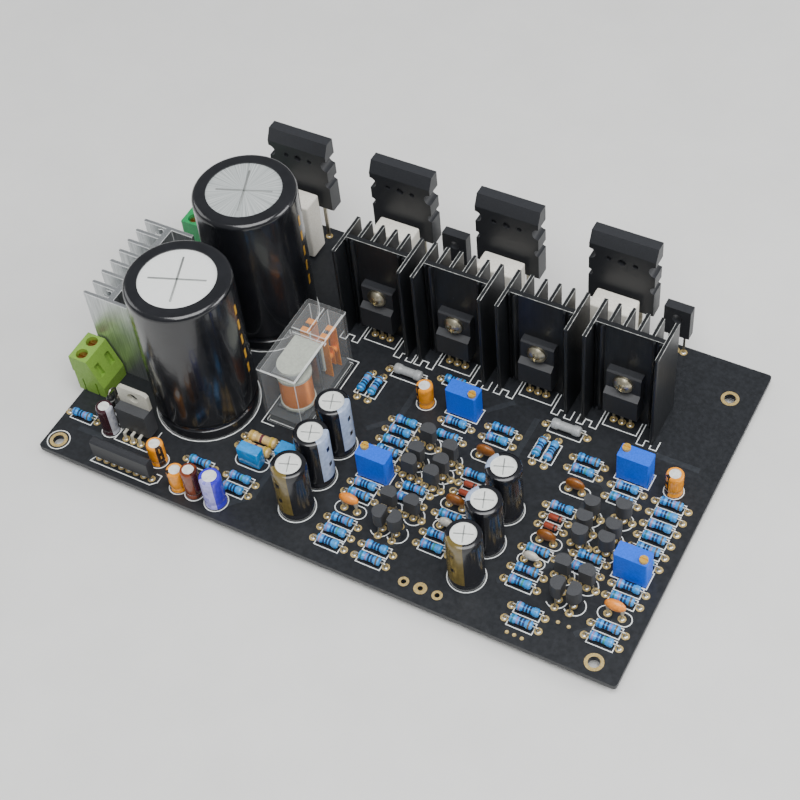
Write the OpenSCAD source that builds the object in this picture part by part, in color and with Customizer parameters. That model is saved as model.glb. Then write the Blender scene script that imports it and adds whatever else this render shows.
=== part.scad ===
// Stereo audio amplifier board: a through-hole circuit board with two smoothing capacitors,
// a supply heatsink, four driver heatsinks, four output transistors on long leads, a relay
// that connects the loudspeakers, screw terminals, trimmers and the small parts of two channels.
// Places on the board are measured from its front left corner, on its top face.

/* [Board] */
// Length of the board along its front edge
board_w = 180; // [178:0.5:186]
// Depth of the board from front edge to back edge
board_d = 111; // [111:0.5:118]
// Thickness of the board
board_t = 1.6; // [1.2:0.1:2.4]
// Corner radius of the board
board_corner = 1; // [0.5:0.1:3]
// Diameter of a mounting hole
hole_d = 3.2; // [2.6:0.1:3.4]
// Distance of the left and front mounting holes from their edges
hole_inset = 4.2; // [4:0.1:4.6]
// Distance of the right mounting holes from the right edge
hole_right_inset = 7.8; // [7.4:0.1:9]
// Distance of the back mounting holes from the back edge
hole_back_inset = 12.8; // [12:0.1:13]
// Diameter of a hole for a soldered wire
wire_hole_d = 1.4; // [1:0.1:1.8]
// Spacing of the wire holes
wire_pitch = 5; // [4.5:0.1:5.4]

/* [Smoothing capacitors] */
// Diameter of a smoothing capacitor over its sleeve
cap_d = 30; // [28:0.5:31]
// Height of a smoothing capacitor
cap_h = 52; // [40:1:60]
// Wall of the shrink sleeve on a smoothing capacitor
cap_sleeve_t = 0.4; // [0.3:0.05:0.6]
// Diameter of the bare vent disc in the sleeve
cap_vent_d = 21.8; // [18:0.2:24]
// Spacing of the two terminals of a smoothing capacitor
cap_pin_pitch = 10; // [7.5:0.5:12]

/* [Supply heatsink] */
// Length of the supply heatsink from front to back
supply_len = 32.4; // [31:0.2:33]
// Depth of the supply heatsink across the web
supply_depth = 17; // [15:0.2:17.4]
// Height of the supply heatsink
supply_h = 32; // [28:0.5:40]
// Number of fins of the supply heatsink
supply_fins = 8; // [6:1:8]
// Length of a fin of the supply heatsink up to the web
supply_fin_len = 8; // [6.5:0.1:8.6]
// Thickness of a fin of the supply heatsink
supply_fin_t = 1.2; // [1:0.1:1.4]
// Thickness of the web of the supply heatsink
supply_web_t = 2; // [1.6:0.1:2.4]
// Width of the bridge rectifier
rectifier_w = 22; // [18:0.5:24]
// Height of the bridge rectifier
rectifier_h = 18; // [15:0.5:20]
// Thickness of the bridge rectifier
rectifier_t = 3.5; // [3:0.1:4]
// Gap between the bridge rectifier and the board
rectifier_stand = 5; // [3:0.5:7]

/* [Driver heatsinks] */
// Width of a driver heatsink
sink_w = 21.8; // [20:0.2:23]
// Height of a driver heatsink
sink_h = 36; // [30:0.5:40]
// Thickness of the plate of a driver heatsink
sink_plate_t = 1.6; // [1.4:0.1:2]
// Length of a wing in front of the plate
sink_wing_len = 6.6; // [5.5:0.1:7]
// Length of a fin behind the plate
sink_fin_len = 7; // [5:0.1:9]
// Thickness of a fin of a driver heatsink
sink_fin_t = 1.1; // [0.9:0.1:1.4]
// Number of fins between the wings
sink_fins = 4; // [3:1:5]

/* [Power transistors] */
// Width of a driver transistor
driver_w = 10.2; // [9.8:0.1:10.8]
// Height of a driver transistor
driver_h = 15.8; // [15:0.1:17]
// Thickness of a driver transistor
driver_t = 4.6; // [4.4:0.1:4.9]
// Thickness of a driver transistor at its screw
driver_head_t = 2.6; // [2.2:0.1:3]
// Height of the thin part of a driver transistor
driver_head_h = 6.6; // [6.4:0.1:7]
// Gap between a driver transistor and the board
driver_stand = 5; // [4:0.2:7]
// Width of an output transistor
output_w = 20; // [19:0.2:21]
// Height of an output transistor
output_h = 26; // [24:0.5:27]
// Thickness of an output transistor
output_t = 5; // [4.6:0.1:5.2]
// Gap between an output transistor and the board
output_stand = 14.5; // [10:0.5:18]
// Lead spacing of an output transistor
output_lead_pitch = 5.45; // [5:0.05:6]
// Distance of the output transistors' back faces from the back edge of the board
output_back_gap = 0.8; // [0.4:0.1:1.2]
// Width of a bias transistor
bias_w = 8; // [7.6:0.1:8.4]
// Height of a bias transistor
bias_h = 11; // [10:0.1:12]
// Thickness of a bias transistor
bias_t = 3; // [2.6:0.1:3.2]
// Gap between a bias transistor and the board
bias_stand = 8; // [5:0.5:10]
// Diameter of the screws on the heatsinks
screw_d = 3; // [2.5:0.1:3.2]
// Diameter of a screw head on the heatsinks
screw_head_d = 5.8; // [5.4:0.1:6]
// Height of a screw head on the heatsinks
screw_head_h = 2.2; // [1.8:0.1:2.4]
// Width of an emitter resistor
emitter_w = 13; // [12:0.2:14]
// Depth of an emitter resistor
emitter_t = 7; // [6:0.1:7.4]
// Height of an emitter resistor
emitter_h = 21; // [18:0.5:24]
// Gap between an emitter resistor and the board
emitter_stand = 0.8; // [0.5:0.1:2]

/* [Terminal blocks] */
// Spacing of the poles of a terminal block
term_pitch = 5.08; // [5:0.02:5.16]
// Depth of a terminal block
term_depth = 10.2; // [9.6:0.1:11]
// Height of a terminal block
term_h = 14; // [13.6:0.1:15]
// Depth of the flat top of a terminal block
term_top = 6.2; // [5.8:0.1:6.6]
// Height of the vertical back of a terminal block
term_back_h = 4.2; // [3.4:0.1:4.6]
// Radius of a terminal screw's head
term_head_r = 1.7; // [1.5:0.05:1.8]
// Radius of a terminal screw's thread
term_thread_r = 1.2; // [1:0.05:1.3]
// Height that a terminal clamp rises when its screw is tightened
term_lift = 2.2; // [1.6:0.1:2.4]

/* [Regulator and protection chip] */
// Width of the regulator
reg_w = 10.2; // [9.8:0.1:10.6]
// Height of the regulator's moulded body
reg_body_h = 9.2; // [8.6:0.1:9.6]
// Thickness of the regulator's moulded body
reg_t = 4.4; // [4.2:0.1:4.8]
// Height of the bare tab above the body
reg_tab_h = 6.4; // [6:0.1:6.8]
// Thickness of the tab
reg_tab_t = 1.3; // [1:0.1:1.4]
// Gap between the regulator and the board
reg_stand = 2; // [1.8:0.1:4]
// Length of the protection chip
chip_w = 19.4; // [19:0.1:20.4]
// Height of the protection chip
chip_h = 6.4; // [5.8:0.1:7]
// Thickness of the protection chip
chip_t = 2.6; // [2.4:0.1:3]
// Gap between the protection chip and the board
chip_stand = 2.1; // [1.6:0.1:2.6]

/* [Relay] */
// Width of the relay
relay_w = 12.8; // [12.6:0.1:13.4]
// Length of the relay from front to back
relay_d = 29.2; // [29:0.1:30]
// Height of the relay
relay_h = 23; // [22.6:0.1:25.6]
// Wall of the relay's clear cover
relay_wall = 0.8; // [0.6:0.05:0.9]
// Radius of the relay's winding
coil_r = 4.8; // [4.2:0.1:5]
// Height of the relay's winding
coil_h = 10.6; // [10:0.1:11]
// Radius of the relay's iron core
core_r = 2.2; // [1.8:0.1:2.4]
// Air gap between the core and the armature
armature_gap = 0.9; // [0.9:0.05:1.1]
// Thickness of the armature
armature_t = 1; // [0.8:0.05:1.1]

/* [Trimmers] */
// Length of a trimmer
trimmer_w = 9.5; // [9.2:0.1:9.8]
// Depth of a trimmer
trimmer_d = 4.8; // [4.6:0.1:5]
// Height of a trimmer
trimmer_h = 10; // [9.4:0.1:11]
// Radius of a trimmer's screw
trimmer_screw_r = 1.2; // [1:0.05:1.3]
// Height of a trimmer's screw above the case
trimmer_screw_rise = 0.9; // [0.6:0.1:1.4]

/* [Electrolytic capacitors] */
// Diameter of a channel capacitor over its sleeve
channel_cap_d = 10; // [9.6:0.1:10.2]
// Height of a channel capacitor
channel_cap_h = 20; // [16:0.5:22]
// Wall of the sleeve on a channel capacitor
channel_sleeve_t = 0.25; // [0.2:0.05:0.4]
// Diameter of the bare top in a channel capacitor's sleeve
channel_vent_d = 7.8; // [7:0.1:8.2]
// Diameter of a small capacitor
small_cap_d = 5; // [4.8:0.1:5.1]
// Height of a small orange capacitor
small_cap_h = 8; // [6:0.5:9]
// Height of a small dark capacitor
tall_cap_h = 11; // [10:0.5:12]
// Diameter of the violet capacitor
violet_cap_d = 6.3; // [6:0.1:6.6]
// Height of the violet capacitor
violet_cap_h = 12; // [11:0.5:13]

/* [Small parts] */
// Length of a signal resistor's body
res_len = 6.4; // [6:0.1:6.8]
// Radius of a signal resistor at its end caps
res_r = 1.25; // [1.1:0.05:1.3]
// Spacing of a signal resistor's pads
res_pad_pitch = 9.6; // [9.4:0.1:10.2]
// Length of a power resistor's body
power_len = 9; // [8.4:0.1:9.4]
// Radius of a power resistor
power_r = 1.6; // [1.4:0.05:1.65]
// Spacing of a power resistor's pads
power_pad_pitch = 12.8; // [12.6:0.1:13.4]
// Length of a diode's glass body
diode_len = 3.8; // [3.4:0.1:4.2]
// Radius of a diode
diode_r = 0.9; // [0.8:0.05:1]
// Spacing of a diode's pads
diode_pad_pitch = 7.6; // [7.2:0.1:8.2]
// Radius of a small transistor
to92_r = 2.25; // [2.1:0.05:2.3]
// Height of a small transistor's body
to92_h = 4.8; // [4.4:0.1:5.2]
// Gap between a small transistor and the board
to92_stand = 3.7; // [3:0.1:4.2]
// Width of a film capacitor
film_w = 7; // [6.6:0.1:7.2]
// Height of the lower film capacitor
film_h = 6.5; // [6:0.1:7]
// Width of a flat dipped capacitor
dipped_w = 5.4; // [5:0.1:6]
// Height of a flat dipped capacitor
dipped_h = 4.6; // [4.2:0.1:5.4]
// Thickness of a dipped capacitor
dipped_t = 2.4; // [2:0.1:2.6]
// Length of a standing diode
standing_len = 5; // [4.4:0.1:5.6]
// Radius of a standing diode
standing_r = 1.3; // [1.1:0.05:1.4]
// Radius of a wire lead
lead_r = 0.3; // [0.25:0.05:0.4]

/* [Soldered ends] */
// Length of a stout pin under the board
pin_len = 2.4; // [2:0.1:3]
// Radius of a stout pin
pin_r = 0.55; // [0.45:0.05:0.7]
// Length of a small trimmed lead under the board
joint_len = 1.5; // [1.2:0.1:1.9]

/* [Hidden] */
$fn = 40;
// Running clearance of a screw in its hole
run = 0.05;
// Clearance of a piece that is fitted once
fit = 0.1;
// Overshoot of a cut past a face
cut = 1;
// Width of an output transistor's lead
stout_lead = 1.1;
// Edge radius of moulded boxes
moulded_edge = 0.5;

hole_pitch_x = board_w - hole_inset - hole_right_inset;
hole_pitch_y = board_d - hole_inset - hole_back_inset;
hole_cx = hole_inset + hole_pitch_x / 2;
hole_cy = hole_inset + hole_pitch_y / 2;
mount_holes = [for (x = [0, hole_pitch_x], y = [0, hole_pitch_y]) [hole_inset + x, hole_inset + y]];
input_holes = [for (i = [0:2]) [117.2 + i * wire_pitch, 4.6]];
supply_holes = [for (i = [0:2]) [3.6, 69.6 + i * wire_pitch]];

// Rows along the back edge, and the last y that the pieces in front of them may reach
output_x = [30, 64.9, 99.5, 135.1];
output_y = board_d - output_back_gap;
bias_x = [80.8, 151.6];
emitter_gap = 1.4;
emitter_y = output_y - output_t - emitter_gap - emitter_t / 2;
emitter_lead_pitch = 8;
row_gap = 0.5;
row_limit = emitter_y - emitter_t / 2 - row_gap;

// Places of the main pieces, as [x, y] of their centres
cap_places = [[36.3, 35.2], [35, min(71.6, row_limit - cap_d / 2)]];
supply_x = 0.7;
supply_y = 49.8;
supply_pitch = (supply_len - supply_fin_t) / (supply_fins - 1);
supply_web_x = supply_x + supply_fin_len;
supply_face_x = supply_web_x + supply_web_t;
supply_channel_r = 1.5;
supply_channel_x = supply_web_x - supply_channel_r / 2;
supply_channel_out = (supply_len - supply_fin_t - supply_pitch) / 2;
rectifier_x = supply_face_x + rectifier_t / 2;
rectifier_lead_pitch = 5;
rectifier_leads = [for (i = [-1.5:1:1.5]) [rectifier_x, supply_y + i * rectifier_lead_pitch]];
sink_x = [71, 96, 122, 148];
sink_y = min(80.1, row_limit - sink_plate_t - sink_fin_len);
sink_channel_r = 1.4;
sink_channel_out = sink_w / 2 - sink_fin_t - sink_channel_r - fit;
term_places = [[-1.9, 28.1], [-1.9, 88.4]];
reg_place = [24.6, 18.9];
reg_lead_reach = 1.6;
reg_lead_y = -reg_t - reg_lead_reach;
chip_place = [27.9, 4];
relay_place = [62, 50.4];

// The two channels mirror each other about this line
channel_axis = 132.3;
inner_column = 13.1;
middle_column = 26.3;
outer_column = 39.2;
function channel_x(side, out) = channel_axis + side * out;

// Trimmers: [side, distance from the channel line, y, turn]
trimmers = [[-1, 38.6, 32.3, 0], [-1, 26.2, 62.6, 180], [1, 26.4, 61.8, 0], [1, 38.3, 32.3, 180]];
function trimmer_place(t) = [channel_x(t[0], t[1]), t[2]];
channel_caps = [for (x = [79.2, 131.5], row = [0:2]) [x, 13.4 + row * 11.75]];
small_caps = [[35.2, 10.4], [45.4, 5.2], [94.5, 60.8], [170.1, 61.8]];
tall_caps = [[16.3, 13.8], [50.6, 5.2]];
violet_cap = [57.7, 5.3];
small_cap_lead_pitch = 2;

// Rows of signal resistors in a channel: [side, column, first row, row pitch, rows]
channel_rows = [
    [-1, outer_column, 6.5, 3.9, 3], [-1, outer_column, 23.7, 3.7, 2], [-1, outer_column, 36.4, 3.8, 5],
    [-1, middle_column, 6.5, 4, 2], [-1, middle_column, 28, 3.9, 2], [-1, middle_column, 52, 5.3, 2],
    [-1, inner_column, 17, 4, 2], [-1, inner_column, 28, 15, 2], [-1, inner_column, 56.8, 3.9, 2],
    [1, outer_column, 10.4, 4.1, 2], [1, outer_column, 23.8, 4, 2], [1, outer_column, 36.6, 4.05, 6],
    [1, middle_column, 28, 4, 2], [1, middle_column, 52.6, 4.2, 2],
    [1, inner_column, 17, 4.2, 2], [1, inner_column, 28, 15.2, 2], [1, inner_column, 57, 3.9, 2],
    [1, 18.6, 6.2, 4.1, 2]];
// Signal resistors: [x, y, turn]
resistors = concat(
    [for (r = channel_rows, i = [0:r[4] - 1]) [channel_x(r[0], r[1]), r[2] + i * r[3], 0]],
    [[6, 14.2, 0], [46.7, 14.4, 0], [60.1, 10.5, 0], [60.1, 14.5, 0], [99, 70.7, 0]],
    [for (x = [75.2, 78.7, 131.1, 134.7]) [x, 59.3, 90]]);
// Power resistors: [x, y]
grey_resistors = [[85.2, 67.6], [135.2, 68.3]];
tan_resistors = [[59.2, 24.8], [59.2, 28.4]];
power_resistors_at = concat(grey_resistors, tan_resistors);
diode_column = 12.8;
diodes_at = [for (side = [-1, 1], y = [36.5, 39.6]) [channel_x(side, diode_column), y]];
standing_diodes_at = [[12.4, 20.6], [15.6, 20.6]];
standing_gap = 0.6;
standing_span = 2.54;
// Small transistors of a channel: [distance from the channel line, y, left turn, right turn]
channel_transistors = [
    [29.4, 47.1, 0, 180], [29.5, 40.1, 0, 180], [29.4, 35.5, 0, 180],
    [21.3, 44.5, 0, 180], [21.4, 39.3, 0, 180], [22.1, 34.7, 0, 180],
    [29.2, 23.5, 0, 0], [22.3, 23.7, 0, 0], [28.3, 17.1, 90, -90], [24.1, 17.1, -90, 90]];
small_transistors_at = [for (side = [-1, 1], q = channel_transistors)
    [side, q[0], q[1], side < 0 ? q[2] : q[3]]];
function transistor_place(q) = [channel_x(q[0], q[1]), q[2]];
// Film capacitors: [x, y, depth, height]
film_step = 1;
films_at = [[59.7, 21.3, 3.4, film_h], [70.4, 25, 4.4, film_h + film_step]];
film_lead_pitch = 5;
// Dipped capacitors of a channel: [distance from the channel line, y, gap below, width, height, thickness]
flat_gap = 0.6;
leggy_gap = 2;
channel_dipped = [
    [13.6, 50.6, flat_gap, dipped_w, dipped_h, dipped_t],
    [13.6, 32.1, flat_gap, dipped_w, dipped_h, dipped_t],
    [12.6, 24.7, flat_gap, dipped_w * 0.8, dipped_h * 0.8, dipped_t * 0.9],
    [39.2, 18.8, leggy_gap, dipped_w * 1.1, dipped_h * 1.1, dipped_t * 1.15]];
dipped_at = [for (side = [-1, 1], c = channel_dipped) concat([side], c)];
function dipped_place(c) = [channel_x(c[0], c[1]), c[2]];
dipped_lead_pitch = 4;
small_lead_pitch = 2.54;
bias_lead_pitch = 2.3;
chip_leads = 8;
function chip_lead_x(i) = (i - (chip_leads - 1) / 2) * small_lead_pitch;

// Levels inside the relay, from the board up
relay_base_top = 2.6;
relay_yoke_t = 1.2;
relay_bobbin_t = 0.8;
relay_tube_t = 0.4;
relay_coil_z = relay_base_top + relay_yoke_t + relay_bobbin_t + fit;
relay_pole_t = 0.8;
relay_pole_top = relay_coil_z + coil_h + relay_bobbin_t + relay_pole_t + fit;
relay_arm_z = relay_pole_top + armature_gap;
relay_hinge_gap = 0.3;
relay_yoke_top = relay_arm_z - relay_hinge_gap;
relay_carrier_t = 0.8;
relay_front_gap = 3;
relay_coil_y = -relay_d / 2 + relay_wall + coil_r + relay_front_gap;
relay_yoke_gap = 1.2;
relay_yoke_y = relay_coil_y + coil_r + relay_yoke_gap;
relay_arm_gap = 0.4;
relay_arm_y = relay_yoke_y + relay_yoke_t + relay_arm_gap;
relay_card_y = relay_arm_y + armature_t;
relay_blade_reach = 5.4;
relay_blade_y = relay_card_y + relay_blade_reach;
relay_contact_z = 9.6;
relay_contact_r = 1.1;
relay_contact_x = 3.2;
relay_stroke = 0.75;
relay_blade_t = 0.3;
relay_rivet_t = 0.5;
relay_rib_gap = 0.5;

// Levels inside a terminal block, from the board up
term_poles = 2;
term_w = term_pitch * term_poles;
term_screw_x = term_top / 2;
term_clamp_side = 4;
term_clamp_floor = 0.8;
term_clamp_roof = 1.2;
term_rest_z = 1;
term_strip_t = 0.8;
term_spare = 0.7;
term_strip_z = term_rest_z + term_clamp_floor + term_lift + term_spare;
term_window_h = term_strip_z + term_strip_t + term_spare - term_rest_z - term_clamp_floor;
term_clamp_h = term_clamp_floor + term_window_h + term_clamp_roof;
term_cavity_top = term_rest_z + term_clamp_h + term_lift + term_spare - fit;
term_lip_t = 0.9;
term_lip_top = term_cavity_top + term_lip_t;
term_head_z = term_lip_top + fit;
term_head_h = 1.5;
term_tip_gap = 0.3;
term_tip_z = term_strip_z + term_strip_t + term_tip_gap;
term_pin_x = 7;
function pole_y(i) = (i - (term_poles - 1) / 2) * term_pitch;

// Stout pins that hold the heavy pieces and carry the board when it lies on a table
relay_pin_out = 3.8;
relay_pin_rows = [2, 7, 12];
relay_coil_pin_in = 2.6;
relay_coil_pin_y = -relay_d / 2 + relay_coil_pin_in;
relay_pins = concat([for (s = [-1, 1]) [s * relay_pin_out, relay_coil_pin_y]],
    [for (s = [-1, 1], y = relay_pin_rows) [s * relay_pin_out, y]]);
trimmer_pin_step = 1.2;
trimmer_pins = [[-small_lead_pitch, 0], [0, trimmer_pin_step], [small_lead_pitch, 0]];
function turned(p, a) = [p[0] * cos(a) - p[1] * sin(a), p[0] * sin(a) + p[1] * cos(a)];
function pair(p, pitch, a = 0) = [for (s = [-1, 1]) [p[0], p[1]] + turned([s * pitch / 2, 0], a)];
function trio(p, pitch, a = 0) = [for (i = [-1:1]) [p[0], p[1]] + turned([i * pitch, 0], a)];
stout_pins_at = concat(
    [for (c = cap_places) each pair(c, cap_pin_pitch)],
    [for (s = [-1, 1]) [supply_channel_x, supply_y + s * supply_channel_out]],
    rectifier_leads,
    [for (x = sink_x) each pair([x, sink_y], 2 * sink_channel_out)],
    [for (p = relay_pins) relay_place + p],
    [for (t = term_places, i = [0:term_poles - 1]) t + [term_pin_x, pole_y(i)]],
    [for (t = trimmers, p = trimmer_pins) trimmer_place(t) + turned(p, t[3])],
    [for (c = channel_caps) each pair(c, channel_cap_d / 2)]);

// Small soldered ends under the board
small_joints = concat(
    [for (r = resistors) each pair(r, res_pad_pitch, r[2])],
    [for (r = power_resistors_at) each pair(r, power_pad_pitch)],
    [for (d = diodes_at) each pair(d, diode_pad_pitch)],
    [for (d = standing_diodes_at, y = [0, standing_span]) d + [0, y]],
    [for (q = small_transistors_at) each trio(transistor_place(q), small_lead_pitch, q[3])],
    [for (c = dipped_at) each pair(dipped_place(c), dipped_lead_pitch)],
    [for (c = films_at) each pair(c, film_lead_pitch)],
    [for (c = concat(small_caps, tall_caps, [violet_cap])) each pair(c, small_cap_lead_pitch)],
    [for (x = sink_x) each trio([x, sink_y - driver_t / 2], small_lead_pitch)],
    [for (x = output_x) each trio([x, output_y - output_t / 2], output_lead_pitch)],
    [for (x = bias_x) each trio([x, output_y - bias_t / 2], bias_lead_pitch)],
    [for (x = output_x) each pair([x, emitter_y], emitter_lead_pitch)],
    trio(reg_place + [0, reg_lead_y], small_lead_pitch),
    [for (i = [0:chip_leads - 1]) chip_place + [chip_lead_x(i), 0]]);

// Shared shapes

// Moves board places into the frame: the centre of the mounting holes on the underside
module on_board() {
    translate([-hole_cx, -hole_cy, board_t]) children();
}

module at(p, z = 0) {
    translate([p[0], p[1], z]) children();
}

// Rectangle with round corners, centred
module round_rect(w, d, r) {
    square([w - 2 * r, d], center = true);
    square([w, d - 2 * r], center = true);
    for (x = [-1, 1], y = [-1, 1]) translate([x * (w / 2 - r), y * (d / 2 - r)]) circle(r);
}

module round_box(w, d, h, r) {
    linear_extrude(h) round_rect(w, d, r);
}

// Half section of a can with a rolled top edge and a bead near its foot
module can_half(r, h, edge, bead_x, bead_z, bead_r) {
    difference() {
        union() {
            square([r, h - edge]);
            square([r - edge, h]);
            translate([r - edge, h - edge]) circle(edge);
        }
        translate([bead_x, bead_z]) circle(bead_r);
    }
}

// Aluminium can, scored with a cross on its vent disc
module can(d, h, t, edge, bead_z, bead_r, vent_d) {
    r = d / 2 - t - fit / 2;
    score = vent_d * 0.74;
    score_w = vent_d * 0.03;
    difference() {
        rotate_extrude() can_half(r, h - t, edge - t, d / 2 + bead_r / 2, bead_z, bead_r + t + fit / 2);
        for (a = [20, 110]) translate([0, 0, h - t]) rotate([0, 0, a])
            cube([score, score_w, score_w], center = true);
    }
}

// Shrink sleeve over a can, open at the vent disc and at the foot
module sleeve(d, h, t, edge, bead_z, bead_r, vent_d) {
    bead_x = d / 2 + bead_r / 2;
    rotate_extrude() difference() {
        can_half(d / 2, h, edge, bead_x, bead_z, bead_r);
        can_half(d / 2 - t, h - t, edge - t, bead_x, bead_z, bead_r + t);
        translate([0, -cut]) square([vent_d / 2, h + 2 * cut]);
        translate([0, -cut]) square([d / 2 - t, cut + fit]);
    }
}

// Fin of an extrusion along +X, with a round tip at the origin
module fin(len, t) {
    translate([t / 2, -t / 2]) square([len - t / 2, t]);
    translate([t / 2, 0]) circle(t / 2);
}

// Open channel of an extrusion for a pin or a screw, open towards -X
module pin_channel(r) {
    wall = r * 0.45;
    slot = r * 0.8;
    difference() {
        circle(r);
        circle(r - wall);
        translate([-r - cut, -slot / 2]) square([r + cut, slot]);
    }
}

// Wire lead from the origin along +X, bent down to the board
module bent_lead(reach, drop) {
    bend = lead_r * 2;
    rotate([0, 90, 0]) cylinder(r = lead_r, h = reach - bend);
    translate([reach - bend, 0, -bend]) rotate([90, 0, 0])
        rotate_extrude(angle = 90) translate([bend, 0]) circle(lead_r);
    translate([reach, 0, -drop]) cylinder(r = lead_r, h = drop - bend);
}

module lead_pair(body_len, pad_pitch, z) {
    for (a = [0, 180]) rotate([0, 0, a]) translate([body_len / 2, 0, z])
        bent_lead((pad_pitch - body_len) / 2, z);
}

// Flat lead standing on the board, half as thick as it is wide
module flat_lead(w, h) {
    translate([-w / 2, -w / 4, 0]) cube([w, w / 2, h]);
}

// Board and what is soldered through it

module circuit_board() color("#22252a") on_board() translate([0, 0, -board_t]) linear_extrude(board_t)
    difference() {
        translate([board_w / 2, board_d / 2]) round_rect(board_w, board_d, board_corner);
        for (p = mount_holes) translate(p) circle(d = hole_d);
        for (p = concat(input_holes, supply_holes)) translate(p) circle(d = wire_hole_d);
    }

// Pin with its cone of solder, hanging below the board
module soldered_pin(pad_r, r, len) {
    rotate_extrude() polygon([[0, 0], [pad_r, 0], [r, -len * 0.55], [r, -len], [0, -len]]);
}

module stout_pins() color("#c9c6bd") on_board() {
    for (p = stout_pins_at) at(p, -board_t) soldered_pin(pin_r * 2, pin_r, pin_len);
    for (t = term_places, i = [0:term_poles - 1]) at(t + [0, pole_y(i)]) terminal_strip();
    for (p = rectifier_leads) at(p) cylinder(r = pin_r, h = rectifier_stand);
}

module soldered_ends() color("#b9bbbd") on_board()
    for (p = small_joints) at(p, -board_t) soldered_pin(lead_r * 3, lead_r, joint_len);

// Lead of a small transistor, slanting in from its pad to the body
module splayed_lead(i) {
    lean = i * atan(small_lead_pitch / 2 / to92_stand);
    intersection() {
        translate([i * small_lead_pitch, 0, 0]) rotate([0, -lean, 0]) translate([0, 0, -cut])
            cylinder(r = lead_r * 0.8, h = to92_stand + 3 * cut);
        translate([-2 * small_lead_pitch, -cut, 0]) cube([4 * small_lead_pitch, 2 * cut, to92_stand]);
    }
}

// Leads of a standing diode: one below it, one looped over its top and down beside it
module hairpin() {
    top = standing_gap + standing_len;
    rise = standing_gap;
    bend = standing_span / 2;
    cylinder(r = lead_r, h = standing_gap);
    translate([0, 0, top]) cylinder(r = lead_r, h = rise);
    translate([0, bend, top + rise]) rotate([90, 0, 90])
        rotate_extrude(angle = 180) translate([bend, 0]) circle(lead_r);
    translate([0, standing_span, 0]) cylinder(r = lead_r, h = top + rise);
}

module component_leads() color("#cfcabd") on_board() {
    for (r = resistors) at(r) rotate([0, 0, r[2]]) lead_pair(res_len, res_pad_pitch, res_r + fit);
    for (r = power_resistors_at) at(r) lead_pair(power_len, power_pad_pitch, power_r + fit);
    for (d = diodes_at) at(d) lead_pair(diode_len, diode_pad_pitch, diode_r + fit);
    for (d = standing_diodes_at) at(d) hairpin();
    for (q = small_transistors_at) at(transistor_place(q)) rotate([0, 0, q[3]])
        for (i = [-1:1]) splayed_lead(i);
    for (c = dipped_at, p = pair(dipped_place(c), dipped_lead_pitch)) at(p) cylinder(r = lead_r, h = c[3]);
    for (x = sink_x, p = trio([x, sink_y - driver_t / 2], small_lead_pitch)) at(p)
        flat_lead(stout_lead * 0.75, driver_stand);
    for (x = output_x, p = trio([x, output_y - output_t / 2], output_lead_pitch)) at(p)
        flat_lead(stout_lead, output_stand);
    for (x = bias_x, p = trio([x, output_y - bias_t / 2], bias_lead_pitch)) at(p)
        flat_lead(stout_lead * 0.6, bias_stand);
    for (x = output_x, p = pair([x, emitter_y], emitter_lead_pitch)) at(p)
        cylinder(r = lead_r, h = emitter_stand);
    for (i = [0:chip_leads - 1]) at(chip_place + [chip_lead_x(i), 0])
        flat_lead(stout_lead * 0.5, chip_stand);
}

// Smoothing capacitors

cap_edge = 1.6;
cap_bead_z = 5;
cap_bead_r = 1.4;

module smoothing_can(i) color("#c8cccb") on_board() at(cap_places[i])
    can(cap_d, cap_h, cap_sleeve_t, cap_edge, cap_bead_z, cap_bead_r, cap_vent_d);

module smoothing_sleeve(i) color("#17181b") on_board() at(cap_places[i])
    sleeve(cap_d, cap_h, cap_sleeve_t, cap_edge, cap_bead_z, cap_bead_r, cap_vent_d);

// Supply heatsink and the rectifier on it

rectifier_screw_z = rectifier_stand + rectifier_h / 2;
rectifier_bevel = 1;

module supply_heatsink() color("#c9cbcc") on_board() difference() {
    linear_extrude(supply_h) {
        translate([supply_web_x, supply_y - supply_len / 2]) square([supply_web_t, supply_len]);
        for (i = [0:supply_fins - 1]) {
            outer = i == 0 || i == supply_fins - 1;
            translate([supply_x, supply_y + (i - (supply_fins - 1) / 2) * supply_pitch])
                fin(outer ? supply_depth : supply_fin_len + supply_web_t / 2, supply_fin_t);
        }
        for (s = [-1, 1]) translate([supply_channel_x, supply_y + s * supply_channel_out])
            pin_channel(supply_channel_r);
    }
    translate([supply_web_x - supply_channel_r, supply_y, rectifier_screw_z]) rotate([0, 90, 0])
        cylinder(d = screw_d + fit, h = supply_web_t + supply_channel_r + cut);
}

module bridge_rectifier() color("#232427") on_board()
    translate([supply_face_x, supply_y, rectifier_stand]) difference() {
        rotate([90, 0, 0]) translate([0, 0, -rectifier_w / 2]) linear_extrude(rectifier_w)
            polygon([[0, 0], [rectifier_t, 0], [rectifier_t, rectifier_h - rectifier_bevel],
                [rectifier_t - rectifier_bevel, rectifier_h], [0, rectifier_h]]);
        translate([-cut, 0, rectifier_h / 2]) rotate([0, 90, 0])
            cylinder(d = screw_d + 2 * fit, h = rectifier_t + 2 * cut);
    }

// Driver heatsinks, their transistors and screws

driver_screw_z = driver_stand + driver_h - driver_head_h / 2;
screw_end = 0.9;

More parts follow.
